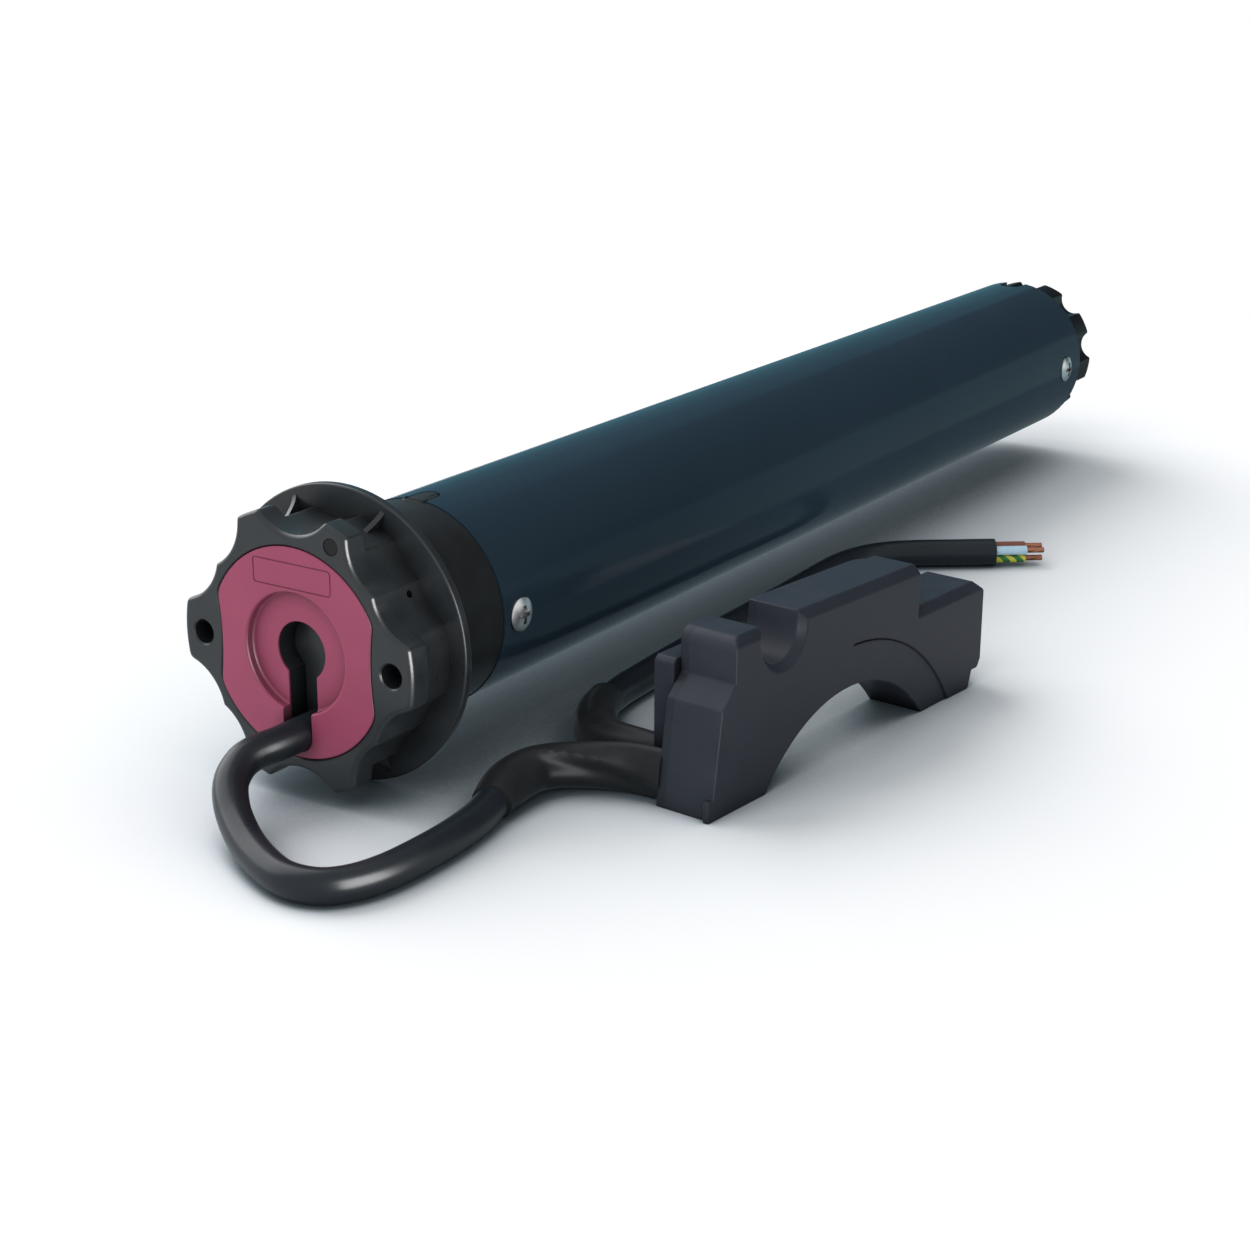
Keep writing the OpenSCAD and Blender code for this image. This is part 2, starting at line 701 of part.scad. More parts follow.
module head_body() color([0.11, 0.115, 0.12]) difference() {
    union() {
        along_x(0, rim_depth) star(lobe_r);
        along_x(rim_depth, head_depth - rim_depth) difference() {
            star(body_r);
            for (a = narrow_lobes) rotate(a)
                translate([relief_r, -lobe_r / 4]) square([lobe_r, lobe_r / 2]);
        }
        along_x(head_depth - gusset_len, gusset_len)
            for (a = narrow_lobes) rotate(a) translate([relief_r - cut, -gusset_t / 2])
                square([gusset_r - relief_r + cut, gusset_t]);
        bar(head_depth, flange_t, flange_r);
        bar(collar_x, spigot_len, spigot_r);
    }
    along_x(-cut, cut + plate_t) plate_outline(seat_gap);
    along_x(-cut, cut + plug_back_x) keyhole(seat_gap);
    bar(-cut, collar_x + spigot_len + 2 * cut, plug_pin_r + seat_gap);
    for (s = [-1, 1]) translate([0, s * hole_spacing / 2, 0]) bar(-cut, cut + hole_depth, hole_d / 2);
    bars(-cut, cut + mark_depth, mark_d / 2, mark_r, [mark_angle]);
    translate([side_hole_x, 0, 0]) rotate([side_hole_angle, 0, 0]) translate([0, 0, valley_r - side_hole_depth])
        cylinder(h = lobe_r - valley_r + side_hole_depth, r = side_hole_d / 2);
    bars(-cut, cut + plate_t + head_screw_head_h, head_screw_head_d / 2 + seat_gap,
        head_screw_r, head_screw_angles);
    bars(0, collar_x + cut, head_screw_d / 2 + screw_gap, head_screw_r, head_screw_angles);
}

module face_plate() color([0.5, 0.2, 0.29]) difference() {
    along_x(0, plate_t) difference() {
        plate_outline(0);
        keyhole(0);
    }
    bar(-cut, cut + recess_depth, recess_r);
    along_x(-cut, cut + label_depth) translate([0, label_z]) difference() {
        square([label_w, label_h], center = true);
        square([label_w - 2 * label_line, label_h - 2 * label_line], center = true);
    }
}

module head_screws() color([0.75, 0.76, 0.78]) {
    bars(plate_t, head_screw_head_h, head_screw_head_d / 2, head_screw_r, head_screw_angles);
    bars(plate_t + head_screw_head_h - cut, collar_x - plate_t - head_screw_head_h + cut + head_screw_bite,
        head_screw_d / 2, head_screw_r, head_screw_angles);
}

module lead_plug() color([0.09, 0.09, 0.09]) {
    along_x(plug_face_x, plug_back_x - plug_face_x - seat_gap) keyhole(-seat_gap);
    bar(plug_back_x - cut, board_x - plug_back_x + cut, plug_pin_r);
}

module terminal_board() color([0.1, 0.32, 0.18]) union() {
    bar(board_x, board_t, insert_bore_r - seat_gap);
    translate([board_x + board_t / 2, -block_w / 2, 0]) cube([block_len + board_t / 2, block_w, block_h]);
}

module head_collar() color([0.06, 0.06, 0.06]) difference() {
    union() {
        bar(collar_x, collar_len, collar_r);
        bar(tube_x - cut, insert_len + cut, inner_r);
        intersection() {
            ring(tube_x - cut, tongue_len + cut, tube_r, inner_r - cut);
            translate([0, 0, inner_r - 2 * cut]) tongue_block(0);
        }
    }
    bar(collar_x - cut, board_seat + cut, spigot_r + seat_gap);
    bar(board_x, insert_end - board_x + cut, insert_bore_r);
    bars(collar_x - cut, head_screw_bite + cut + seat_gap, head_screw_d / 2 + screw_gap,
        head_screw_r, head_screw_angles);
    for (s = [-1, 1]) tube_screw_shank(tube_x + near_screw_inset, s, screw_gap);
}

// Upright block with a round end, the shape of the tongue and of its slot
module tongue_block(grow) {
    reach = tongue_len + grow - tongue_w / 2;
    translate([tube_x - cut, -tongue_w / 2 - grow, 0]) cube([reach + cut, tongue_w + 2 * grow, tube_r]);
    translate([tube_x + reach, 0, 0]) cylinder(h = tube_r, r = tongue_w / 2 + grow);
}

module motor_tube() color([0.03, 0.09, 0.13]) difference() {
    ring(tube_x, tube_end - tube_x, tube_r, tube_in_r);
    translate([0, 0, tube_in_r - cut]) tongue_block(seat_gap);
    notch_reach = notch_len - notch_w / 2;
    translate([tube_end - notch_reach, 0, tube_in_r - 2 * cut]) {
        translate([0, -notch_w / 2, 0]) cube([notch_reach + cut, notch_w, tube_r]);
        cylinder(h = tube_r, r = notch_w / 2);
    }
    for (s = [-1, 1], x = [tube_x + near_screw_inset, tube_end - far_screw_inset]) {
        tube_screw_shank(x, s, screw_gap);
        translate([x, s * spot_y, 0]) rotate([-s * 90, 0, 0])
            cylinder(h = tube_r, r = tube_screw_head_d / 2 + seat_gap);
    }
}

// Shank of a tube screw at a station, on one side of the tube
module tube_screw_shank(x, side, grow) {
    translate([x, side * (spot_y - tube_screw_len - grow), 0]) rotate([-side * 90, 0, 0])
        cylinder(h = tube_screw_len + grow + cut / 2, r = tube_screw_d / 2 + grow);
}

// A pair of tube screws at a station, one on each side
module tube_screws(x) {
    for (s = [-1, 1]) difference() {
        union() {
            tube_screw_shank(x, s, 0);
            translate([x, s * spot_y, 0]) rotate([-s * 90, 0, 0])
                screw_dome(tube_screw_head_d, tube_screw_head_h);
        }
        translate([x, s * (spot_y + tube_screw_head_h), 0]) rotate([-s * 90, 0, 0]) cross_recess();
    }
}

// Domed screw head that stands on the plane z = 0
module screw_dome(d, h) {
    edge = h * dome_edge_share;
    dome_r = (pow(d / 2, 2) + pow(h - edge, 2)) / (2 * (h - edge));
    cylinder(h = edge, r = d / 2);
    intersection() {
        translate([0, 0, h - dome_r]) sphere(dome_r);
        cylinder(h = h, r = d / 2);
    }
}

module cross_recess() {
    for (a = [0, 90]) rotate(a) cube([cross_len, cross_w, 2 * cross_depth], center = true);
}

module head_fixing_screws() color([0.82, 0.83, 0.84]) tube_screws(tube_x + near_screw_inset);

module gear_fixing_screws() color([0.82, 0.83, 0.84]) tube_screws(tube_end - far_screw_inset);

module inner_wires() color([0.1, 0.15, 0.5]) for (i = [-1, 0, 1]) translate([0, i * wire_pitch, -wire_drop])
    bar(board_x + board_t, encoder_x - board_x - board_t, wire_d / 2);

module capacitor_holder() color([0.85, 0.85, 0.82]) difference() {
    bar(holder_x, holder_len, inner_r);
    bar(holder_x + holder_floor, holder_len, holder_bore_r);
    translate([holder_x - cut, -wire_channel_w / 2, -tube_r])
        cube([holder_len + 2 * cut, wire_channel_w, tube_r - wire_drop + wire_d]);
}

module run_capacitor() color([0.78, 0.79, 0.8])
    bar(holder_x + holder_floor, capacitor_len, capacitor_d / 2);

module encoder_board() color([0.1, 0.32, 0.18]) bar(encoder_x, board_t, encoder_board_r);

module encoder_magnet() color([0.25, 0.25, 0.26]) ring(magnet_x, magnet_t, magnet_r, shaft_r + screw_gap);

// End shield with a bearing seat that opens to one side
module shield(x, seat_x) difference() {
    bar(x, shield_t, inner_r);
    bar(x - cut, shield_t + 2 * cut, shaft_r + shaft_clear);
    bar(seat_x, shield_t - shield_web + cut, bearing_r + screw_gap);
    bars(x - cut, shield_t + 2 * cut, stator_bolt_d / 2 + screw_gap, stator_bolt_r, post_angles);
}

module rear_shield() color([0.7, 0.71, 0.72]) union() {
    shield(rear_shield_x, rear_shield_x + shield_web);
    stand = rear_shield_x - encoder_x - board_t;
    bars(encoder_x + board_t, stand + cut, stator_bolt_d / 2,
        encoder_board_r - stator_bolt_d, spring_angles);
}

module rear_bearing() color([0.75, 0.76, 0.78])
    ring(rear_shield_x + shield_web, shield_t - shield_web, bearing_r, shaft_r + run_gap);

module stator_core() color([0.45, 0.46, 0.47]) difference() {
    bar(stator_x, stator_len, inner_r);
    bar(stator_x - cut, stator_len + 2 * cut, stator_bore_r);
    for (i = [0 : slot_count - 1]) rotate([i * 360 / slot_count, 0, 0]) {
        translate([0, slot_circle_r, 0]) bar(stator_x - cut, stator_len + 2 * cut, slot_r);
        translate([stator_x - cut, stator_bore_r - cut, -slot_mouth / 2])
            cube([stator_len + 2 * cut, slot_circle_r - stator_bore_r + cut, slot_mouth]);
    }
    bars(stator_x - cut, stator_len + 2 * cut, stator_bolt_d / 2 + screw_gap, stator_bolt_r, post_angles);
}

module stator_windings() color([0.62, 0.32, 0.14]) union() {
    for (x = [stator_x - winding_head, stator_end])
        ring(x, winding_head, slot_circle_r + slot_r + seat_gap, slot_circle_r - slot_r - seat_gap);
    slots = [for (i = [0 : slot_count - 1]) i * 360 / slot_count];
    bars(stator_x - cut, stator_len + 2 * cut, slot_r - seat_gap, slot_circle_r, slots);
}

module stator_bolts() color([0.75, 0.76, 0.78])
    bars(rear_shield_x, brake_x - rear_shield_x, stator_bolt_d / 2, stator_bolt_r, post_angles);

module rotor_core() color([0.5, 0.5, 0.52]) difference() {
    union() {
        bar(stator_x, stator_len, rotor_r);
        bar(stator_x - end_ring_len, stator_len + 2 * end_ring_len, rotor_r - air_gap);
    }
    bar(stator_x - end_ring_len - cut, stator_len + 2 * (end_ring_len + cut), shaft_r + screw_gap);
}

module rotor_shaft() color([0.7, 0.7, 0.72]) difference() {
    bar(magnet_x, stage_1_x - magnet_x, shaft_r);
    bar(stage_1_x - pinion_spigot_len, pinion_spigot_len + cut, pinion_spigot_d / 2 + screw_gap);
}

module front_shield() color([0.7, 0.71, 0.72]) shield(front_shield_x, front_shield_x - cut);

module front_bearing() color([0.75, 0.76, 0.78])
    ring(front_shield_x, shield_t - shield_web, bearing_r, shaft_r + run_gap);

module brake_disc() color([0.3, 0.27, 0.22])
    ring(brake_x + brake_gap, brake_disc_t, brake_disc_r, shaft_r + screw_gap);

module brake_armature() color([0.55, 0.56, 0.58]) difference() {
    ring(armature_x, armature_t, armature_r, shaft_r + shaft_clear);
    bars(armature_x - cut, armature_t + 2 * cut, brake_post_d / 2 + seat_gap, brake_post_r, post_angles);
}

module brake_springs() color([0.6, 0.61, 0.63]) difference() {
    from = armature_x + armature_t;
    to = brake_magnet_x + brake_spring_depth;
    bars(from, to - from, brake_spring_d / 2, brake_post_r, spring_angles);
    bars(from - cut, to - from + 2 * cut, brake_spring_d / 2 - brake_spring_wall,
        brake_post_r, spring_angles);
}

module brake_magnet() color([0.4, 0.41, 0.43]) difference() {
    union() {
        bar(brake_magnet_x, brake_magnet_t, inner_r);
        bars(brake_x, brake_magnet_x - brake_x + cut, brake_post_d / 2, brake_post_r, post_angles);
    }
    bar(brake_magnet_x - cut, brake_magnet_t + 2 * cut, shaft_r + shaft_clear);
    ring(brake_magnet_x - cut, coil_depth + cut, coil_r_out + seat_gap, coil_r_in - seat_gap);
    bars(brake_magnet_x - cut, brake_spring_depth + cut, brake_spring_d / 2 + seat_gap,
        brake_post_r, spring_angles);
}

module brake_coil() color([0.62, 0.32, 0.14]) ring(brake_magnet_x, coil_depth, coil_r_out, coil_r_in);

module gear_case() color([0.55, 0.56, 0.58]) difference() {
    bar(case_x, case_end - case_x, inner_r);
    bar(case_x - cut, case_wall + 2 * cut, shaft_r + shaft_clear);
    along_x(case_x + case_wall, case_end - case_x) polygon(ring_hollow(ring_start));
}

module sun_pinion() color([0.65, 0.66, 0.68]) union() {
    along_x(stage_1_x, stage_1_w) polygon(outer_gear(sun_teeth, 0));
    bar(stage_1_x - pinion_spigot_len, pinion_spigot_len + cut, pinion_spigot_d / 2);
}

// One planet at its place on the orbit
module planet(x, w, at) {
    rotate([at, 0, 0]) translate([0, orbit_r, 0]) rotate([-at, 0, 0]) difference() {
        along_x(x, w) polygon(outer_gear(planet_teeth, planet_start(at)));
        bar(x - cut, w + 2 * cut, pin_r + run_gap);
    }
}

module planet_1(i) color([0.6, 0.6, 0.62]) planet(stage_1_x, stage_1_w, planet_angles[i]);

module planet_2(i) color([0.6, 0.6, 0.62]) planet(stage_2_x, stage_2_w, planet_angles[i]);

module carrier_1() color([0.5, 0.51, 0.53]) difference() {
    union() {
        bar(carrier_1_x, carrier_1_t, carrier_r);
        along_x(carrier_1_x + carrier_1_t - cut, stage_2_w + gear_play + cut)
            polygon(outer_gear(sun_teeth, 0));
    }
    bars(carrier_1_x - cut, carrier_1_t + 2 * cut, pin_r + screw_gap, orbit_r, planet_angles);
}

module carrier_1_pins() color([0.72, 0.72, 0.74])
    bars(stage_1_x, carrier_1_x + carrier_1_t - stage_1_x, pin_r, orbit_r, planet_angles);

module output_shaft() color([0.6, 0.61, 0.63]) difference() {
    union() {
        bar(carrier_2_x, carrier_2_t, carrier_r);
        bar(carrier_2_x, wheel_x - carrier_2_x, output_r);
        intersection() {
            bar(wheel_x - cut, wheel_floor_x - seat_gap - wheel_x + cut, output_r);
            flats(output_flats);
        }
    }
    bars(carrier_2_x - cut, carrier_2_t + 2 * cut, pin_r + screw_gap, orbit_r, planet_angles);
    bar(wheel_floor_x - wheel_screw_bite, wheel_screw_bite + cut, wheel_screw_d / 2 + screw_gap);
}

// Block between the output shaft's flats, over the drive wheel's width
module flats(across) {
    translate([wheel_x - cut, -across / 2, -output_d]) cube([wheel_w + cut, across, 2 * output_d]);
}

module carrier_2_pins() color([0.72, 0.72, 0.74])
    bars(stage_2_x, carrier_2_x + carrier_2_t - stage_2_x, pin_r, orbit_r, planet_angles);

module end_cap() color([0.08, 0.08, 0.085]) difference() {
    bar(case_end, end_cap_len, inner_r);
    bar(case_end - cut, end_cap_len + 2 * cut, bush_r + screw_gap);
    translate([tube_end - notch_len, -notch_w / 2, inner_r - 2 * tube_wall])
        cube([notch_len + cut, notch_w, tube_r]);
    for (s = [-1, 1]) tube_screw_shank(tube_end - far_screw_inset, s, screw_gap);
}

module output_bush() color([0.72, 0.58, 0.3]) ring(case_end, end_cap_len, bush_r, output_r + run_gap);

module drive_wheel() color([0.07, 0.07, 0.07]) difference() {
    bar(wheel_x, wheel_w, wheel_r);
    gaps = [for (i = [0 : wheel_scallops - 1]) wheel_turn + i * 360 / wheel_scallops];
    gap_reach = wheel_r + wheel_scallop_r - wheel_scallop_depth;
    bars(wheel_x - cut, wheel_w + 2 * cut, wheel_scallop_r, gap_reach, gaps);
    intersection() {
        bar(wheel_x - cut, wheel_w + cut, output_r + screw_gap);
        flats(output_flats + 2 * screw_gap);
    }
    bar(wheel_floor_x, wheel_recess_depth + cut, wheel_recess_r);
}

module drive_washer() color([0.75, 0.76, 0.78])
    ring(wheel_floor_x, washer_t, washer_d / 2, wheel_screw_d / 2 + seat_gap);

module drive_screw() color([0.75, 0.76, 0.78]) difference() {
    union() {
        bar(wheel_floor_x + washer_t, wheel_screw_head_h, wheel_screw_head_d / 2);
        bar(wheel_floor_x - wheel_screw_bite + cut, wheel_screw_bite + washer_t, wheel_screw_d / 2);
    }
    translate([wheel_floor_x + washer_t + wheel_screw_head_h, 0, 0]) rotate([0, 90, 0]) cross_recess();
}

// Places the module on the floor beside the motor: x along it, y to its back, z up
module beside() {
    translate([module_x, module_y, floor_z]) rotate(module_turn) children();
}

// Extrudes an upright outline over a stretch of the module's depth
module upright(front, depth) {
    translate([0, front + depth, 0]) rotate([90, 0, 0]) linear_extrude(depth) children();
}

// Outline of the module without its arch and its round notch
function module_points() = [
    [foot_x, 0], [lean_x, lean_h], [module_step, step_h],
    for (i = [0 : round_steps]) let (a = 180 - 90 * i / round_steps)
        [module_step + module_round, module_h_left - module_round] + polar(module_round, a),
    [saddle_x + saddle_r, module_h_left], [module_raised_len, module_h_right],
    [module_raised_len, module_low_h], [module_len - module_edge, module_low_h],
    [module_len, module_low_h - module_edge], [module_len, tab_top], [module_len - tab_edge, tab_h],
    [foot_end + tab_edge, tab_h], [foot_end, 0]
];

// Inside of the module
function cavity_points() = [
    [module_step + module_wall, module_wall],
    [module_step + module_wall, module_h_left - module_wall - module_edge],
    [module_raised_len - module_wall, module_h_right - module_wall - module_edge],
    [module_raised_len - module_wall, module_low_h - module_wall - module_edge],
    [module_len - module_edge - module_wall, module_low_h - module_wall - module_edge],
    [module_len - module_edge - module_wall, tab_top + module_wall], [foot_end - module_wall, module_wall]
];

// Cylinders of the arch and of the round notch, grown by a wall
module arch_and_notch(front, depth, grow) {
    translate([arch_x, front, arch_z]) rotate([-90, 0, 0]) cylinder(h = depth, r = arch_r + grow);
    translate([saddle_x, front, saddle_h]) rotate([-90, 0, 0]) cylinder(h = depth, r = saddle_r + grow);
    translate([saddle_x - saddle_r - grow, front, saddle_h])
        cube([2 * (saddle_r + grow), depth, module_h_left]);
}

// The module's outer block between two depths
module module_block(front, depth) {
    difference() {
        upright(front, depth) polygon(module_points());
        arch_and_notch(front - cut, depth + 2 * cut, 0);
    }
}

// Cuts a sloping edge along the front of a top that falls evenly
module front_edge(x, len, top, fall) {
    side = 4 * front_chamfer;
    translate([x, 0, top]) rotate([0, atan(fall / len), 0]) rotate([45, 0, 0])
        translate([0, -side / 2, -front_chamfer / sqrt(2)]) cube([len + cut, side, side]);
}

module module_case() color([0.15, 0.155, 0.18]) beside() {
    difference() {
        module_block(0, module_case_d);
        difference() {
            upright(module_wall, module_case_d) polygon(cavity_points());
            arch_and_notch(0, module_case_d + module_wall + cut, module_wall);
            module_posts(module_post_d / 2, 0, module_case_d + module_wall + cut);
        }
        module_posts(module_screw_d / 2 + screw_gap, module_case_d - module_screw_bite - seat_gap,
            module_screw_bite + cut);
        front_edge(module_step - cut, saddle_x - module_step, module_h_left, 0);
        front_edge(saddle_x + saddle_r, module_raised_len - saddle_x - saddle_r, module_h_left, module_fall);
        front_edge(module_raised_len, module_len, module_low_h, 0);
        translate([saddle_x, -cut, saddle_h]) rotate([-90, 0, 0])
            cylinder(h = notch_chamfer + 2 * cut, r1 = saddle_r + notch_chamfer + cut, r2 = saddle_r - cut);
        difference() {
            upright(-cut, cut + arc_step_depth) translate([arch_x, arch_z]) circle(arc_step_r);
            translate([-cut, -2 * cut, -cut]) cube([arch_x + cut, 4 * cut, module_h_left]);
        }
    }
    cube([foot_x + module_wall, toe_depth, toe_h]);
}

// Round posts or holes at the module's screw places
module module_posts(r, front, depth) {
    for (p = post_places) translate([p[0], front, p[1]]) rotate([-90, 0, 0]) cylinder(h = depth, r = r);
}

module module_back_cover() color([0.14, 0.145, 0.165]) beside() difference() {
    module_block(module_case_d, module_cover_t);
    module_posts(module_screw_d / 2 + seat_gap, module_case_d - cut, module_cover_t + 2 * cut);
    translate([module_raised_len - corner_r, module_depth - corner_r, module_low_h]) difference() {
        cube([2 * corner_r, 2 * corner_r, module_h_left]);
        translate([0, 0, -cut]) cylinder(h = module_h_left + 2 * cut, r = corner_r);
    }
}

module module_cable_entry() color([0.15, 0.155, 0.17]) beside() upright(module_depth, entry_depth) polygon([
    [entry_x, 0], [entry_x, entry_h - entry_edge], [entry_x + entry_edge, entry_h],
    [entry_x + entry_len, entry_h], [entry_x + entry_len, 0]
]);

module module_screws() color([0.7, 0.71, 0.73]) beside() {
    module_posts(module_screw_d / 2, module_case_d - module_screw_bite,
        module_screw_bite + module_cover_t + module_screw_head_h / 2);
    module_posts(module_screw_head_d / 2, module_depth, module_screw_head_h);
}

// A block on the front of the receiver board
module on_board(x, len) {
    translate([x, pcb_front - relay_depth, pcb_z + part_inset]) cube([len, relay_depth, relay_h]);
}

module receiver_board() color([0.1, 0.32, 0.18]) beside()
    translate([pcb_x, pcb_front, pcb_z]) cube([pcb_len, board_t, pcb_h]);

module relays() color([0.12, 0.2, 0.42]) beside()
    for (i = [0, 1]) on_board(pcb_x + part_inset + i * relay_step, relay_len);

module supply_transformer() color([0.75, 0.6, 0.2]) beside() on_board(transformer_x, transformer_len);

module aerial() color([0.7, 0.5, 0.3]) beside()
    translate([pcb_x + part_inset, pcb_front - aerial_d / 2, pcb_top - aerial_d]) rotate([0, 90, 0])
        cylinder(h = pcb_len - 2 * part_inset, r = aerial_d / 2);

module terminal_strip() color([0.2, 0.4, 0.25]) beside()
    translate([module_step + module_wall + fit_gap, module_wall + fit_gap, module_wall + terminal_lift])
        cube([terminal_len, module_case_d - module_wall - 2 * fit_gap, terminal_h]);

module motor_lead() color([0.05, 0.05, 0.055]) lead(motor_lead_route, motor_lead_d);

module motor_lead_sleeve() color([0.06, 0.06, 0.065]) sweep(motor_sleeve_route, motor_sleeve_sizes);

module supply_lead() color([0.05, 0.05, 0.055]) lead(supply_lead_route, supply_lead_d);

module supply_lead_sleeve() color([0.06, 0.06, 0.065]) sweep(supply_sleeve_route, supply_sleeve_sizes);

// Turns children so that their x axis runs on from the supply lead's end
module at_lead_end() {
    n = len(supply_lead_route);
    way = supply_lead_route[n - 1] - supply_lead_route[n - 2];
    translate(supply_lead_route[n - 1]) rotate(atan2(way[1], way[0])) children();
}

module lead_cores() at_lead_end()
    for (i = [0, 1, 2]) color(core_colors[i]) bars(0, core_len, core_d / 2, core_circle_r, [core_angles[i]]);

module core_ends() color([0.75, 0.42, 0.25]) at_lead_end()
    bars(core_len, copper_len, copper_d / 2, core_circle_r, core_angles);

head_body();
face_plate();
head_screws();
lead_plug();
terminal_board();
head_collar();
motor_tube();
head_fixing_screws();
gear_fixing_screws();
inner_wires();
capacitor_holder();
run_capacitor();
encoder_board();
encoder_magnet();
rear_shield();
rear_bearing();
stator_core();
stator_windings();
stator_bolts();
rotor_core();
rotor_shaft();
front_shield();
front_bearing();
brake_disc();
brake_armature();
brake_springs();
brake_magnet();
brake_coil();
gear_case();
sun_pinion();
planet_1(0);  // planet_1a
planet_1(1);  // planet_1b
planet_1(2);  // planet_1c
carrier_1();
carrier_1_pins();
planet_2(0);  // planet_2a
planet_2(1);  // planet_2b
planet_2(2);  // planet_2c
output_shaft();
carrier_2_pins();
end_cap();
output_bush();
drive_wheel();
drive_washer();
drive_screw();
module_case();
module_back_cover();
module_cable_entry();
module_screws();
receiver_board();
relays();
supply_transformer();
aerial();
terminal_strip();
motor_lead();
motor_lead_sleeve();
supply_lead();
supply_lead_sleeve();
lead_cores();
core_ends();
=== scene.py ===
import json
import math

import bmesh
import bpy
from mathutils import Matrix, Vector


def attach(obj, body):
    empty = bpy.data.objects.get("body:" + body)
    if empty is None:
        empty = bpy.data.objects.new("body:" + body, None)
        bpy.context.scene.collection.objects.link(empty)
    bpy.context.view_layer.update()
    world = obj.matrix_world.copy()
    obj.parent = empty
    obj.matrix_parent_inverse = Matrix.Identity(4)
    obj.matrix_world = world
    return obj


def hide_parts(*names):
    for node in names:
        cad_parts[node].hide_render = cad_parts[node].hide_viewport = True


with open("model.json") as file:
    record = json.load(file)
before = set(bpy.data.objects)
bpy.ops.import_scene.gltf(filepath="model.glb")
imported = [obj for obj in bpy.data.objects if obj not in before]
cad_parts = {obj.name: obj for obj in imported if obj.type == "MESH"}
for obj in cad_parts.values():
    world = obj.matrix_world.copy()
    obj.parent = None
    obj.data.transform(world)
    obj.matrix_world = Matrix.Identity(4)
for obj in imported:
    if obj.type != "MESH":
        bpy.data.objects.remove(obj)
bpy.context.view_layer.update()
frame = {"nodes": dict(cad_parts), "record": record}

MM = 0.001
MM_PER_M = 1000
FULL_TURN = 2 * math.pi
QUARTER_TURN = math.pi / 2
UP = Vector((0, 0, 1))
HOUSING = "housing"
FLOOR_Z = -31 * MM


def add_object(name, data):
    obj = bpy.data.objects.new(name, data)
    bpy.context.scene.collection.objects.link(obj)
    return obj


# Camera at the photograph's viewpoint

CAMERA_AT = Vector((-0.3238, -0.2882, 0.1511))
CAMERA_YAW = math.radians(33.08)
CAMERA_PITCH = math.radians(18.67)
CAMERA_ROLL = math.radians(0.25)
CAMERA_LENS = 66.76
SENSOR = 36


def add_camera():
    ahead = Vector((
        math.cos(CAMERA_PITCH) * math.cos(CAMERA_YAW),
        math.cos(CAMERA_PITCH) * math.sin(CAMERA_YAW),
        -math.sin(CAMERA_PITCH),
    ))
    level_right = Vector((math.sin(CAMERA_YAW), -math.cos(CAMERA_YAW), 0))
    above = level_right.cross(ahead)
    right = level_right * math.cos(CAMERA_ROLL) + above * math.sin(CAMERA_ROLL)
    up = above * math.cos(CAMERA_ROLL) - level_right * math.sin(CAMERA_ROLL)
    data = bpy.data.cameras.new("camera")
    data.lens = CAMERA_LENS
    data.sensor_width = SENSOR
    camera = add_object("camera", data)
    turn = Matrix((right, up, -ahead)).transposed().to_4x4()
    camera.matrix_world = Matrix.Translation(CAMERA_AT) @ turn
    bpy.context.scene.camera = camera


add_camera()


# Materials

NOISE_LOW = 0.25
NOISE_HIGH = 0.75
PATCH_DETAIL = 3.0
GRAIN_DETAIL = 2.0
CORNER_SAMPLES = 8


def start_material(name):
    material = bpy.data.materials.new(name)
    material.use_nodes = True
    tree = material.node_tree
    coords = tree.nodes.new("ShaderNodeTexCoord")
    return material, tree, tree.nodes["Principled BSDF"], coords.outputs["Object"]


def noise(tree, coords, size_mm, detail=PATCH_DETAIL):
    node = tree.nodes.new("ShaderNodeTexNoise")
    node.inputs["Scale"].default_value = MM_PER_M / size_mm
    node.inputs["Detail"].default_value = detail
    tree.links.new(coords, node.inputs["Vector"])
    return node.outputs["Fac"]


def colour_between(tree, factor, low, high, start=0.3, stop=0.7):
    node = tree.nodes.new("ShaderNodeValToRGB")
    node.color_ramp.elements[0].position = start
    node.color_ramp.elements[0].color = (*low, 1)
    node.color_ramp.elements[1].position = stop
    node.color_ramp.elements[1].color = (*high, 1)
    tree.links.new(factor, node.inputs["Fac"])
    return node.outputs["Color"]


def value_between(tree, factor, low, high):
    node = tree.nodes.new("ShaderNodeMapRange")
    node.inputs["From Min"].default_value = NOISE_LOW
    node.inputs["From Max"].default_value = NOISE_HIGH
    node.inputs["To Min"].default_value = low
    node.inputs["To Max"].default_value = high
    tree.links.new(factor, node.inputs["Value"])
    return node.outputs["Result"]


def bump(tree, shader, height, depth_mm):
    node = tree.nodes.new("ShaderNodeBump")
    node.inputs["Strength"].default_value = 1.0
    node.inputs["Distance"].default_value = depth_mm * MM
    tree.links.new(height, node.inputs["Height"])
    tree.links.new(node.outputs["Normal"], shader.inputs["Normal"])


def corner_shade(tree, colour, reach_mm):
    """A colour with painted shade: darker in corners and hollows."""
    node = tree.nodes.new("ShaderNodeAmbientOcclusion")
    node.samples = CORNER_SAMPLES
    node.inputs["Distance"].default_value = reach_mm * MM
    tree.links.new(colour, node.inputs["Color"])
    return node.outputs["Color"]


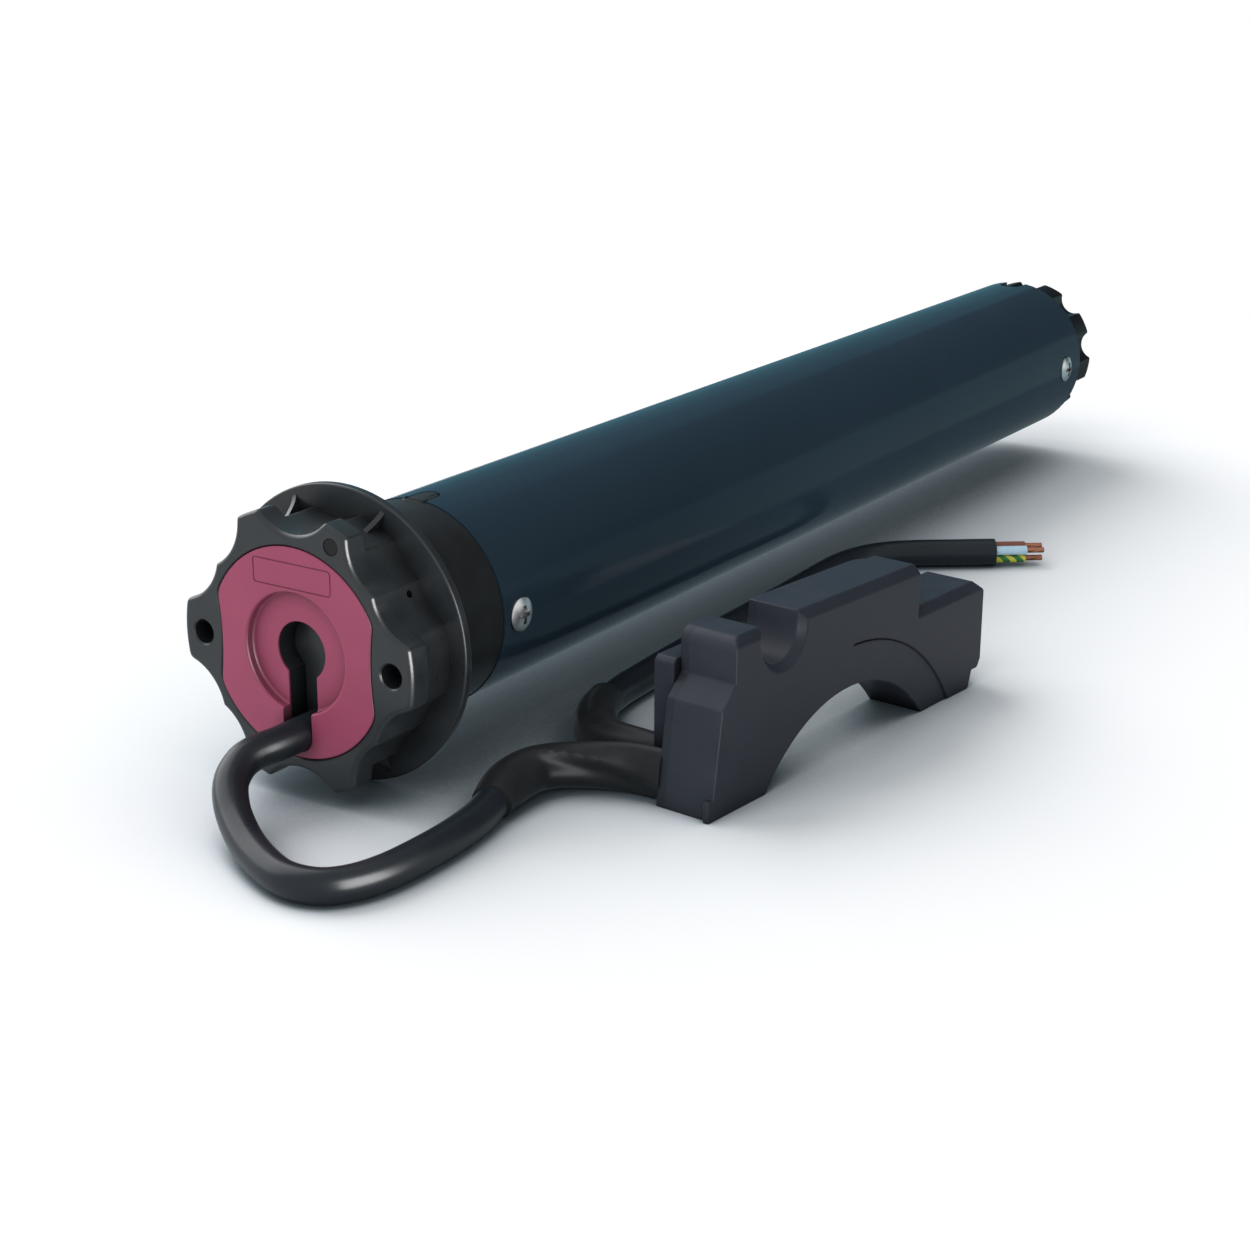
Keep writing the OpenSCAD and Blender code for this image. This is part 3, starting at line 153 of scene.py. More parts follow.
def grained(
        name, low, high, rough, patch_mm, grain_mm, depth_mm, metallic=0.0, specular=0.5, painted_shade_mm=None):
    """A surface with patches of slightly different colour and gloss, a fine grain, and if asked painted
    shade in corners and hollows.
    """
    material, tree, shader, coords = start_material(name)
    patches = noise(tree, coords, patch_mm)
    colour = colour_between(tree, patches, low, high)
    if painted_shade_mm:
        colour = corner_shade(tree, colour, painted_shade_mm)
    tree.links.new(colour, shader.inputs["Base Color"])
    tree.links.new(value_between(tree, patches, *rough), shader.inputs["Roughness"])
    bump(tree, shader, noise(tree, coords, grain_mm, GRAIN_DETAIL), depth_mm)
    shader.inputs["Metallic"].default_value = metallic
    shader.inputs["Specular IOR Level"].default_value = specular
    return material


# head_black has painted shade in its corners and hollows.
head_black = grained(
    "head_black", low=(0.022, 0.0262, 0.0292), high=(0.027, 0.0312, 0.0342), rough=(0.26, 0.34),
    patch_mm=6, grain_mm=0.25, depth_mm=0.01, specular=0.3, painted_shade_mm=5)
collar_black = grained(
    "collar_black", low=(0.0175, 0.0195, 0.0208), high=(0.022, 0.024, 0.0253), rough=(0.34, 0.42),
    patch_mm=6, grain_mm=0.25, depth_mm=0.01, specular=0.1)
deep_black = grained(
    "deep_black", low=(0.006, 0.006, 0.006), high=(0.008, 0.008, 0.008), rough=(0.3, 0.38),
    patch_mm=6, grain_mm=0.25, depth_mm=0.01, specular=0.2)
# maroon has painted shade in its corners and hollows, such as the dish and the label groove.
maroon = grained(
    "maroon", low=(0.31, 0.057, 0.114), high=(0.335, 0.064, 0.126), rough=(0.4, 0.5),
    patch_mm=9, grain_mm=0.3, depth_mm=0.01, specular=0.25, painted_shade_mm=4)
tube_paint = grained(
    "tube_paint", low=(0.0245, 0.044, 0.0635), high=(0.0265, 0.047, 0.0675), rough=(0.13, 0.16),
    patch_mm=30, grain_mm=0.4, depth_mm=0.001, specular=0.055)
# zinc has painted shade in the hollows of the screw heads.
zinc = grained(
    "zinc", low=(0.62, 0.63, 0.64), high=(0.74, 0.75, 0.76), rough=(0.3, 0.36),
    patch_mm=2, grain_mm=0.3, depth_mm=0.001, metallic=1.0, painted_shade_mm=1)
steel = grained(
    "steel", low=(0.36, 0.37, 0.39), high=(0.46, 0.47, 0.49), rough=(0.25, 0.4),
    patch_mm=3, grain_mm=0.3, depth_mm=0.01, metallic=1.0)
alloy = grained(
    "alloy", low=(0.52, 0.53, 0.54), high=(0.62, 0.63, 0.64), rough=(0.4, 0.55),
    patch_mm=4, grain_mm=0.4, depth_mm=0.02, metallic=1.0)
copper = grained(
    "copper", low=(0.55, 0.21, 0.09), high=(0.66, 0.28, 0.13), rough=(0.22, 0.38),
    patch_mm=1.5, grain_mm=0.3, depth_mm=0.01, metallic=1.0)
bronze = grained(
    "bronze", low=(0.42, 0.28, 0.1), high=(0.52, 0.36, 0.14), rough=(0.35, 0.5),
    patch_mm=2, grain_mm=0.2, depth_mm=0.015, metallic=1.0)
board_green = grained(
    "board_green", low=(0.015, 0.09, 0.03), high=(0.025, 0.13, 0.05), rough=(0.3, 0.45),
    patch_mm=3, grain_mm=0.4, depth_mm=0.01)
pale_plastic = grained(
    "pale_plastic", low=(0.56, 0.56, 0.52), high=(0.64, 0.64, 0.6), rough=(0.4, 0.55),
    patch_mm=6, grain_mm=0.4, depth_mm=0.01)
lining = grained(
    "lining", low=(0.06, 0.045, 0.035), high=(0.1, 0.075, 0.055), rough=(0.75, 0.9),
    patch_mm=1.5, grain_mm=0.3, depth_mm=0.03)
# module_grey has painted shade in its corners and hollows.
module_grey = grained(
    "module_grey", low=(0.027, 0.031, 0.041), high=(0.032, 0.036, 0.047), rough=(0.36, 0.44),
    patch_mm=8, grain_mm=0.22, depth_mm=0.01, specular=0.09, painted_shade_mm=5)
sheath_black = grained(
    "sheath_black", low=(0.015, 0.0195, 0.025), high=(0.019, 0.0235, 0.029), rough=(0.26, 0.34),
    patch_mm=9, grain_mm=0.5, depth_mm=0.005, specular=0.16)
sleeve_black = grained(
    "sleeve_black", low=(0.015, 0.0165, 0.018), high=(0.02, 0.0215, 0.023), rough=(0.4, 0.5),
    patch_mm=5, grain_mm=1.6, depth_mm=0.02, specular=0.12)
core_brown = grained(
    "core_brown", low=(0.17, 0.045, 0.022), high=(0.21, 0.058, 0.03), rough=(0.28, 0.36),
    patch_mm=3, grain_mm=0.3, depth_mm=0.005)
core_blue = grained(
    "core_blue", low=(0.42, 0.62, 0.76), high=(0.5, 0.7, 0.82), rough=(0.28, 0.36),
    patch_mm=3, grain_mm=0.3, depth_mm=0.005)

STRIPE_GREEN = (0.03, 0.19, 0.04)
STRIPE_YELLOW = (0.72, 0.66, 0.07)
STRIPE_EDGE = (0.5, 0.62)
STRIPE_SCALE = 170
STRIPE_WAVER = 0.3
STRIPE_ROUGH = (0.3, 0.42)
STRIPE_PATCH = 2
STRIPE_GRAIN = 0.3
STRIPE_GRAIN_DEPTH = 0.004
STRAND_DARK = (0.24, 0.09, 0.05)
STRAND_LIGHT = (0.5, 0.22, 0.13)
STRAND_EDGE = (0.2, 0.8)
STRAND_SCALE = 900
STRAND_WAVER = 1.5
STRAND_ROUGH = (0.3, 0.5)
STRAND_DEPTH = 0.05
STRAND_METALLIC = 0.8


def striped_core(name, origin, way, side):
    """Green with slanted yellow stripes, set along the core."""
    material, tree, shader, coords = start_material(name)
    up = way.cross(side)
    shift = tree.nodes.new("ShaderNodeMapping")
    shift.vector_type = "TEXTURE"
    shift.inputs["Location"].default_value = origin
    shift.inputs["Rotation"].default_value = Matrix((way, side, up)).transposed().to_euler()
    tree.links.new(coords, shift.inputs["Vector"])
    wave = tree.nodes.new("ShaderNodeTexWave")
    wave.bands_direction = "DIAGONAL"
    wave.inputs["Scale"].default_value = STRIPE_SCALE
    wave.inputs["Distortion"].default_value = STRIPE_WAVER
    wave.inputs["Detail"].default_value = 1.0
    tree.links.new(shift.outputs["Vector"], wave.inputs["Vector"])
    stripes = colour_between(tree, wave.outputs["Fac"], STRIPE_GREEN, STRIPE_YELLOW, *STRIPE_EDGE)
    tree.links.new(stripes, shader.inputs["Base Color"])
    gloss = value_between(tree, noise(tree, coords, STRIPE_PATCH), *STRIPE_ROUGH)
    tree.links.new(gloss, shader.inputs["Roughness"])
    bump(tree, shader, noise(tree, coords, STRIPE_GRAIN), STRIPE_GRAIN_DEPTH)
    return material


def strands(name):
    """Copper with fine strands."""
    material, tree, shader, coords = start_material(name)
    wave = tree.nodes.new("ShaderNodeTexWave")
    wave.bands_direction = "DIAGONAL"
    wave.inputs["Scale"].default_value = STRAND_SCALE
    wave.inputs["Distortion"].default_value = STRAND_WAVER
    tree.links.new(coords, wave.inputs["Vector"])
    tint = colour_between(tree, wave.outputs["Fac"], STRAND_DARK, STRAND_LIGHT, *STRAND_EDGE)
    tree.links.new(tint, shader.inputs["Base Color"])
    gloss = value_between(tree, wave.outputs["Fac"], *STRAND_ROUGH)
    tree.links.new(gloss, shader.inputs["Roughness"])
    bump(tree, shader, wave.outputs["Fac"], STRAND_DEPTH)
    shader.inputs["Metallic"].default_value = STRAND_METALLIC
    return material


copper_strands = strands("copper_strands")


# Shapes and pieces

SHARP_DEG = 35
CARVED_SHARP_DEG = 30


def join_rings(shape, rings):
    """Faces between each ring of points and the next."""
    for one, two in zip(rings, rings[1:]):
        count = len(one)
        for k in range(count):
            n = (k + 1) % count
            shape.faces.new((one[k], one[n], two[n], two[k]))


def close_ends(shape, rings):
    shape.faces.new(rings[0])
    shape.faces.new(rings[-1])


def across(ahead):
    """Two directions square to a run: a level one and one above it."""
    side = UP.cross(ahead).normalized()
    return side, ahead.cross(side)


def shape_mesh(name, shape):
    """A mesh of a closed shape, with its faces turned outward."""
    mesh = bpy.data.meshes.new(name)
    bmesh.ops.recalc_face_normals(shape, faces=shape.faces[:])
    shape.to_mesh(mesh)
    shape.free()
    return mesh


def even_shading(obj):
    even = obj.modifiers.new("even", "WEIGHTED_NORMAL")
    even.keep_sharp = True


def finish_piece(obj, material, body=HOUSING):
    obj.data.materials.clear()
    obj.data.materials.append(material)
    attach(obj, body)
    return obj


def mesh_piece(name, shape, material, sharp_deg=SHARP_DEG):
    mesh = shape_mesh(name, shape)
    mesh.shade_smooth()
    mesh.set_sharp_from_angle(angle=math.radians(sharp_deg))
    return finish_piece(add_object(name, mesh), material)


# Leads, along the routes of the CAD solids

MOTOR_LEAD_D = 7
SUPPLY_LEAD_D = 7.2
MOTOR_LEAD_ROUTE = [
    (7, 0, -17), (0, 0, -17), (-5, 0.6, -17.3), (-10, 2, -17.8), (-14, 2.4, -18.8),
    (-18.5, 1, -20.6), (-22, -1.8, -22.6), (-25.5, -6.2, -24.8), (-30, -13.5, -26.7),
    (-34.3, -22.5, -27.5), (-36, -29, -27.5), (-34.6, -34.8, -27.5), (-30, -38.6, -27.5),
    (-23, -40.6, -27.5), (-14, -41.2, -27.5), (-4, -41, -27.5), (6, -39.7, -27.5), (14, -37.6, -27.2),
]
MOTOR_SLEEVE_ROUTE = [
    (13, -37.9, -27.2), (18, -36.6, -26.7), (23.5, -35.8, -26.3), (29, -36.4, -26),
    (33, -39.6, -25.7), (36, -44.2, -25.5), (38.2, -49.5, -25.3), (39.4, -54.5, -25.2),
    (39.6, -61.2, -25.2),
]
MOTOR_SLEEVE_SIZES = [
    (4.2, 3.7), (4.9, 4.2), (5.4, 4.4), (5.4, 4.5), (4.9, 4.6),
    (4.2, 4.8), (3.4, 5.1), (2.8, 5.4), (2.5, 5.6),
]
SUPPLY_SLEEVE_ROUTE = [
    (47.3, -57.2, -25), (48, -49.5, -25.2), (49.2, -42.5, -25.5), (52, -37.2, -25.8),
    (57.5, -32.4, -26), (64.5, -28.2, -26.4), (72.5, -25, -26.9),
]
SUPPLY_SLEEVE_SIZES = [(3.8, 4.6), (4.4, 4.6), (5, 4.5), (5.2, 4.4), (5, 4.3), (4.5, 4.1), (4.1, 3.9)]
SUPPLY_LEAD_ROUTE = [
    (71.5, -25.4, -27.3), (80, -23.9, -27.4), (89, -23.3, -27.4), (100, -22.6, -27.4), (114, -22, -27.4),
    (129, -21.7, -27.4), (144, -21.4, -27.4), (159, -21, -27.4), (172, -20.4, -27.4), (183, -20, -27.4),
    (192, -20.4, -27.4), (200, -22.4, -27.4), (206.5, -26.2, -27.4), (212, -32, -27.4),
    (217.5, -39.4, -27.4), (224.2, -48.2, -27.4),
]
LEAD_PARTS = 4
LEAD_ROUNDNESS = 8
SLEEVE_PARTS = 6
SLEEVE_SIDES = 40
FOLD_ANGLE = 1.75
FOLD_WIND = 2.6
FOLD_MIDDLE = 0.35
FOLD_START = 0.15
FOLD_FADE = 0.3
RIDGE_RISE = 0.13
RIDGE_WIDTH = 0.22
HOLLOW_SINK = 0.2
HOLLOW_SHIFT = 0.55
HOLLOW_WIDTH = 0.4
GROOVE_FADE = 0.9
GROOVE_SINK = 0.16
GROOVE_ANGLE = 1.15
GROOVE_WIDTH = 0.2
SWELL_RISE = 0.05
SWELL_ANGLE = 1.7
SWELL_WIDTH = 0.4


def smooth_route(points, parts):
    """Points on a smooth line through the route's points."""
    line = []
    last = len(points) - 1
    for i in range(last):
        before = points[max(i - 1, 0)]
        start = points[i]
        stop = points[i + 1]
        after = points[min(i + 2, last)]
        for k in range(parts):
            t = k / parts
            line.append(tuple(
                0.5 * (2 * b + (c - a) * t + (2 * a - 5 * b + 4 * c - d) * t ** 2
                       + (3 * b - a - 3 * c + d) * t ** 3)
                for a, b, c, d in zip(before, start, stop, after)
            ))
    line.append(tuple(points[last]))
    return line


def lead_piece(name, route, diameter, material):
    """A round lead as a curve along its route."""
    line = smooth_route([tuple(c * MM for c in p) for p in route], LEAD_PARTS)
    curve = bpy.data.curves.new(name, "CURVE")
    curve.dimensions = "3D"
    curve.bevel_depth = diameter / 2 * MM
    curve.bevel_resolution = LEAD_ROUNDNESS
    curve.use_fill_caps = True
    spline = curve.splines.new("POLY")
    spline.points.add(len(line) - 1)
    for point, place in zip(spline.points, line):
        point.co = (*place, 1)
    spline.use_smooth = True
    obj = finish_piece(add_object(name, curve), material)
    return obj, line


def sleeve_piece(name, route, sizes, material, crease):
    """A flattened sleeve along its route, with a crease that winds round it."""
    line = [Vector(p) * MM for p in smooth_route(route, SLEEVE_PARTS)]
    spans = smooth_route(sizes, SLEEVE_PARTS)
    last = len(line) - 1
    shape = bmesh.new()
    rings = []
    for i, place in enumerate(line):
        side, up = across((line[min(i + 1, last)] - line[max(i - 1, 0)]).normalized())
        width, height = spans[i]
        ring = []
        for k in range(SLEEVE_SIDES):
            angle = FULL_TURN * k / SLEEVE_SIDES
            swell = 1 + crease(i / last, angle)
            reach = side * (width * math.cos(angle) * swell) + up * (height * math.sin(angle) * swell)
            ring.append(shape.verts.new(place + reach * MM))
        rings.append(ring)
    join_rings(shape, rings)
    close_ends(shape, rings)
    return mesh_piece(name, shape, material)


def clamped(value):
    return min(max(value, 0), 1)


def bell(value, middle, width):
    return math.exp(-((value - middle) / width) ** 2)


def motor_crease(along, angle):
    """A ridge that runs from the sleeve's top down its near side, with a hollow below it."""
    fold = FOLD_ANGLE + FOLD_WIND * (along - FOLD_MIDDLE)
    depth = clamped((along - FOLD_START) / FOLD_FADE)
    ridge = RIDGE_RISE * bell(angle, fold, RIDGE_WIDTH)
    hollow = HOLLOW_SINK * bell(angle, fold + HOLLOW_SHIFT, HOLLOW_WIDTH)
    return depth * (ridge - hollow)


def supply_crease(along, angle):
    """A groove beside the lead inside the flattened sleeve."""
    depth = math.sin(math.pi * clamped((1 - along) / GROOVE_FADE)) ** 0.5
    groove = GROOVE_SINK * bell(angle, GROOVE_ANGLE, GROOVE_WIDTH)
    swell = SWELL_RISE * bell(angle, SWELL_ANGLE, SWELL_WIDTH)
    return depth * (swell - groove)


motor_lead, motor_line = lead_piece("motor_lead_sheath", MOTOR_LEAD_ROUTE, MOTOR_LEAD_D, sheath_black)
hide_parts("motor_lead")
supply_lead, supply_line = lead_piece("supply_lead_sheath", SUPPLY_LEAD_ROUTE, SUPPLY_LEAD_D, sheath_black)
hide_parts("supply_lead")
motor_sleeve = sleeve_piece(
    "motor_sleeve", MOTOR_SLEEVE_ROUTE, MOTOR_SLEEVE_SIZES, sleeve_black, motor_crease)
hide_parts("motor_lead_sleeve")
supply_sleeve = sleeve_piece(
    "supply_sleeve", SUPPLY_SLEEVE_ROUTE, SUPPLY_SLEEVE_SIZES, sleeve_black, supply_crease)
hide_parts("supply_lead_sleeve")


# Bare cores at the end of the supply lead

CORE_D = 2.4
CORE_LEN = 8.4
COPPER_D = 1.5
COPPER_LEN = 4.6
CORE_RING = 1.7
CORE_TUCK = 1
CORE_ANGLES = {"brown": 50, "blue": 150, "earth": 270}
ROD_LIP = 0.12
ROD_SIDES = 32


def rod_piece(name, start, stop, diameter, material):
    """A round rod between two points, with chamfered ends."""
    ahead = (stop - start).normalized()
    side, up = across(ahead)
    radius = diameter / 2
    lip = ROD_LIP * MM
    stations = [
        (start, radius - lip), (start + ahead * lip, radius),
        (stop - ahead * lip, radius), (stop, radius - lip),
    ]
    shape = bmesh.new()
    rings = []
    for place, reach in stations:
        rings.append([
            shape.verts.new(place + (side * math.cos(a) + up * math.sin(a)) * reach)
            for a in (FULL_TURN * k / ROD_SIDES for k in range(ROD_SIDES))
        ])
    join_rings(shape, rings)
    close_ends(shape, rings)
    return mesh_piece(name, shape, material)


lead_end = Vector(supply_line[-1])
lead_way = (lead_end - Vector(supply_line[-3])).normalized()
lead_side, lead_up = across(lead_way)
core_earth = striped_core("core_earth", lead_end, lead_way, lead_side)
core_looks = {"brown": core_brown, "blue": core_blue, "earth": core_earth}
tuck = lead_way * CORE_TUCK * MM
for colour, degrees in CORE_ANGLES.items():
    angle = math.radians(degrees)
    centre = lead_end + (lead_side * math.cos(angle) + lead_up * math.sin(angle)) * CORE_RING * MM
    bare_at = centre + lead_way * CORE_LEN * MM
    tip = bare_at + lead_way * COPPER_LEN * MM
    core = rod_piece(
        "core_" + colour, centre - tuck, bare_at, CORE_D * MM, core_looks[colour])
    strand = rod_piece("core_end_" + colour, bare_at - tuck, tip, COPPER_D * MM, copper_strands)
    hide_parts("lead_cores")
    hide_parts("core_ends")


# Head and face plate, built again with rounded edges

LOBE_R = 29.1
VALLEY_R = 24.2
BODY_R = 27.1
RELIEF_R = 26
SCALLOP_R = 11.3
SCALLOP_AT = VALLEY_R + SCALLOP_R
TWIN_ANGLE = 37
TWIN_SPLIT = 7.75
NARROW_SHIFT = 22.5
NARROW_REACH = 16
RIM_DEPTH = 5.5
HEAD_DEPTH = 14.6
RIM_ROUND = 1
RIM_BACK_ROUND = 0.4
HOLE_Y = 24
HOLE_R = 2.5
HOLE_DEPTH = 12
MARK_R = 25.6
MARK_ANGLE = 113.4
MARK_DEPTH = 0.2
MARK_HALF = 1.8
SIDE_HOLE_X = 10.8
SIDE_HOLE_ANGLE = 57.3
SIDE_HOLE_DEPTH = 2
SIDE_HOLE_R = 0.8
SIDE_HOLE_SIDES = 32
FLANGE_R = 31
FLANGE_T = 2.1
FLANGE_ROUND = 0.45
FLANGE_SIDES = 160
SPIGOT_R = 15
SPIGOT_LEN = 12
FIN_T = 1.1
FIN_LEN = 4
FIN_R = 29.5
FIN_HOLLOW = 1.5
FIN_PARTS = 8
PLATE_R = 21.8
PLATE_HALF_W = 19
PLATE_T = 2.5
PLATE_ROUND = 0.35
WAIST_R = 60
RECESS_R = 12.5
RECESS_DEPTH = 2.1
RECESS_ROUND = 0.55
RECESS_SIDES = 128
KEY_R = 6.1
KEY_HALF_W = 3.65
KEY_DROP = 17
LABEL_Z = 15.9
LABEL_W = 20
LABEL_H = 5.6
LABEL_LINE = 0.5
LABEL_DEPTH = 0.14
LABEL_CORNER = 0.7
LABEL_CORNER_PARTS = 5
SEAT_GAP = 0.1
PLUG_BACK_X = 12.6
PLUG_BORE_R = 5.8
SCREW_RING_R = 18.55
SCREW_ANGLES = (45, 135, 225, 315)
SCREW_HEAD_R = 2.8
SCREW_HEAD_H = 2.2
LIP = 0.3
PAST = 1
ROUND_STEPS = 5
ROUND_SIDES = 48
ARC_PARTS = 30
LOBE_PARTS = 30
EASE_ROUNDS = 3

SCALLOPS = sorted(
    [half + side * (TWIN_ANGLE + split) for half in (0, 180) for side in (-1, 1)
     for split in (-TWIN_SPLIT, TWIN_SPLIT)] + [90, 270])
NARROW_LOBES = [middle + side * NARROW_SHIFT for middle in (90, 270) for side in (-1, 1)]


def polar(r, angle):
    return r * math.cos(angle), r * math.sin(angle)


def scallop_wall(turn, inset):
    """Distance from the axis to a scallop's wall, at an angle from the scallop's middle."""
    r = SCALLOP_R + inset
    return SCALLOP_AT * math.cos(turn) - math.sqrt(r ** 2 - (SCALLOP_AT * math.sin(turn)) ** 2)


def relieved(angle, reach, flat):
    """A reach that is cut back to a flat across the narrow lobes."""
    for middle in NARROW_LOBES:
        turn = angle - math.radians(middle)
        if flat and abs(turn) < math.radians(NARROW_REACH):
            reach = min(reach, RELIEF_R / math.cos(turn))
    return reach


def star_ring(r, inset=0.0, flat=False):
    """The head's outline with its lobes and scallops, inset from its edge."""
    reach = r - inset
    edge = math.acos(
        (reach ** 2 + SCALLOP_AT ** 2 - (SCALLOP_R + inset) ** 2) / (2 * reach * SCALLOP_AT))
    ring = []
    for this, after in zip(SCALLOPS, SCALLOPS[1:] + [SCALLOPS[0] + 360]):
        one = math.radians(this)
        two = math.radians(after)
        turn = min(edge, (two - one) / 2)
        places = [(one + turn * k / ARC_PARTS, turn * k / ARC_PARTS) for k in range(ARC_PARTS)]
        if edge < (two - one) / 2:
            span = two - one - 2 * edge
            places.extend((one + edge + span * k / LOBE_PARTS, None) for k in range(LOBE_PARTS))
        for k in range(ARC_PARTS):
            off = turn * (1 - k / ARC_PARTS)
            places.append((two - off, off))
        for angle, off in places:
            wall = reach if off is None else scallop_wall(off, inset)
            ring.append(polar(relieved(angle, wall, flat), angle))
    return ring


def plate_ring(grow=0.0):
    """The face plate's outline: a round plate with hollow sides."""
    r = PLATE_R + grow
    waist = WAIST_R - grow
    waist_at = PLATE_HALF_W + WAIST_R
    edge = math.acos((r ** 2 + waist_at ** 2 - waist ** 2) / (2 * r * waist_at))
    ring = []
    for start in (0, math.pi):
        for k in range(LOBE_PARTS):
            turn = edge * (2 * k / LOBE_PARTS - 1)
            reach = waist_at * math.cos(turn) - math.sqrt(waist ** 2 - (waist_at * math.sin(turn)) ** 2)
            ring.append(polar(reach, start + turn))
        for k in range(2 * ARC_PARTS):
            ring.append(polar(r, start + edge + (math.pi - 2 * edge) * k / (2 * ARC_PARTS)))
    return ring


def key_ring(grow=0.0):
    """The keyhole's outline: a round opening with a slot below it."""
    r = KEY_R + grow
    half = KEY_HALF_W + grow
    open_half = math.asin(half / r)
    ring = []
    for k in range(ARC_PARTS + 1):
        turn = -QUARTER_TURN + open_half + 2 * (math.pi - open_half) * k / ARC_PARTS
        ring.append(polar(r, turn))
    for k in range(ARC_PARTS + 1):
        y, z = polar(half, math.pi * (1 + k / ARC_PARTS))
        ring.append((y, z - KEY_DROP))
    return ring


def round_ring(r, centre=(0, 0), sides=ROUND_SIDES):
    ring = []
    for k in range(sides):
        y, z = polar(r, FULL_TURN * k / sides)
        ring.append((centre[0] + y, centre[1] + z))
    return ring


def label_ring(shrink):
    """A rectangle with rounded corners round the label's middle."""
    half_w = (LABEL_W - shrink) / 2 - LABEL_CORNER
    half_h = (LABEL_H - shrink) / 2 - LABEL_CORNER
    ring = []
    for quarter, (sy, sz) in enumerate(((1, 1), (-1, 1), (-1, -1), (1, -1))):
        for k in range(LABEL_CORNER_PARTS + 1):
            y, z = polar(LABEL_CORNER, QUARTER_TURN * (quarter + k / LABEL_CORNER_PARTS))
            ring.append((sy * half_w + y, LABEL_Z + sz * half_h + z))
    return ring


def eased(ring):
    """A ring whose corners are rounded a little."""
    for _ in range(EASE_ROUNDS):
        ring = [
            tuple((a + 2 * b + c) / 4 for a, b, c in zip(ring[k - 1], ring[k], ring[(k + 1) % len(ring)]))
            for k in range(len(ring))
        ]
    return ring


def loft(shape, stations, closed=False):
    """One skin over outlines along the motor's axis, with flat ends or closed into a ring."""
    loops = [[shape.verts.new((x * MM, y * MM, z * MM)) for y, z in ring] for x, ring in stations]
    if closed:
        join_rings(shape, [*loops, loops[0]])
    else:
        join_rings(shape, loops)
        close_ends(shape, loops)
    return shape


def quarter_steps(radius):
    """Pairs of depth and inset along a rounded edge, from its face to its side."""
    turns = [QUARTER_TURN * k / ROUND_STEPS for k in range(ROUND_STEPS + 1)]
    return [(radius * (1 - math.cos(t)), radius * (1 - math.sin(t))) for t in turns]


def carve(obj, shapes):
    """Cuts closed shapes out of a piece, one after the other, and evens its shading."""
    cutters = [add_object("cutter", shape_mesh("cutter", shape)) for shape in shapes]
    for cutter in cutters:
        step = obj.modifiers.new("cut", "BOOLEAN")
        step.operation = "DIFFERENCE"
        step.solver = "EXACT"
        step.object = cutter
    graph = bpy.context.evaluated_depsgraph_get()
    carved = bpy.data.meshes.new_from_object(obj.evaluated_get(graph))
    obj.modifiers.clear()
    obj.data = carved
    for cutter in cutters:
        bpy.data.objects.remove(cutter)
    carved.shade_smooth()
    carved.set_sharp_from_angle(angle=math.radians(CARVED_SHARP_DEG))
    even_shading(obj)


def side_hole():
    """A small blind hole in the valley on the head's near side."""
    turn = math.radians(SIDE_HOLE_ANGLE)
    out = Vector((0, -math.sin(turn), math.cos(turn)))
    middle = VALLEY_R - SIDE_HOLE_DEPTH / 2 + PAST
    place = Matrix.Translation((out * middle + Vector((SIDE_HOLE_X, 0, 0))) * MM)
    outward = out.to_track_quat("Z", "X").to_matrix().to_4x4()
    shape = bmesh.new()
    bmesh.ops.create_cone(
        shape, cap_ends=True, segments=SIDE_HOLE_SIDES, radius1=SIDE_HOLE_R * MM, radius2=SIDE_HOLE_R * MM,
        depth=(SIDE_HOLE_DEPTH + 2 * PAST) * MM, matrix=place @ outward)
    return shape


def build_head():
    """The head's lobed rim and body, with its pocket, keyhole and holes, and the disc of its mark."""
    stations = [(x, eased(star_ring(LOBE_R, inset))) for x, inset in quarter_steps(RIM_ROUND)]
    for depth, inset in reversed(quarter_steps(RIM_BACK_ROUND)):
        stations.append((RIM_DEPTH - depth, eased(star_ring(LOBE_R - inset))))
    stations.append((RIM_DEPTH, eased(star_ring(BODY_R, flat=True))))
    stations.append((HEAD_DEPTH + LIP, eased(star_ring(BODY_R, flat=True))))
    head = mesh_piece("head_lobes", loft(bmesh.new(), stations), head_black)
    pocket = loft(bmesh.new(), [
        (-PAST, eased(plate_ring(SEAT_GAP + LIP))), (0, eased(plate_ring(SEAT_GAP + LIP))),
        (LIP, eased(plate_ring(SEAT_GAP))), (PLATE_T, eased(plate_ring(SEAT_GAP))),
    ])
    keyhole = loft(bmesh.new(), [(PLATE_T - PAST, key_ring(SEAT_GAP)), (PLUG_BACK_X, key_ring(SEAT_GAP))])
    bore = loft(bmesh.new(), [
        (PLUG_BACK_X - PAST, round_ring(PLUG_BORE_R)), (HEAD_DEPTH + PAST, round_ring(PLUG_BORE_R)),
    ])
    holes = bmesh.new()
    for side in (-1, 1):
        middle = (side * HOLE_Y, 0)
        loft(holes, [
            (-PAST, round_ring(HOLE_R + LIP, middle)), (0, round_ring(HOLE_R + LIP, middle)),
            (LIP, round_ring(HOLE_R, middle)), (HOLE_DEPTH, round_ring(HOLE_R, middle)),
        ])
    mark = polar(MARK_R, math.radians(MARK_ANGLE))
    loft(holes, [(-PAST, round_ring(MARK_HALF, mark)), (MARK_DEPTH, round_ring(MARK_HALF, mark))])
    for degrees in SCREW_ANGLES:
        seat = polar(SCREW_RING_R, math.radians(degrees))
        loft(holes, [
            (PLATE_T - PAST, round_ring(SCREW_HEAD_R, seat)),
            (PLATE_T + SCREW_HEAD_H, round_ring(SCREW_HEAD_R, seat)),
        ])
    carve(head, [pocket, keyhole, bore, holes, side_hole()])
    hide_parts("head_body")
    disc = rod_piece(
        "head_mark", Vector((MARK_DEPTH / 2, *mark)) * MM, Vector((2 * MARK_DEPTH, *mark)) * MM,
        2 * (MARK_HALF - SEAT_GAP) * MM, deep_black)
    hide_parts("head_body")
    return head


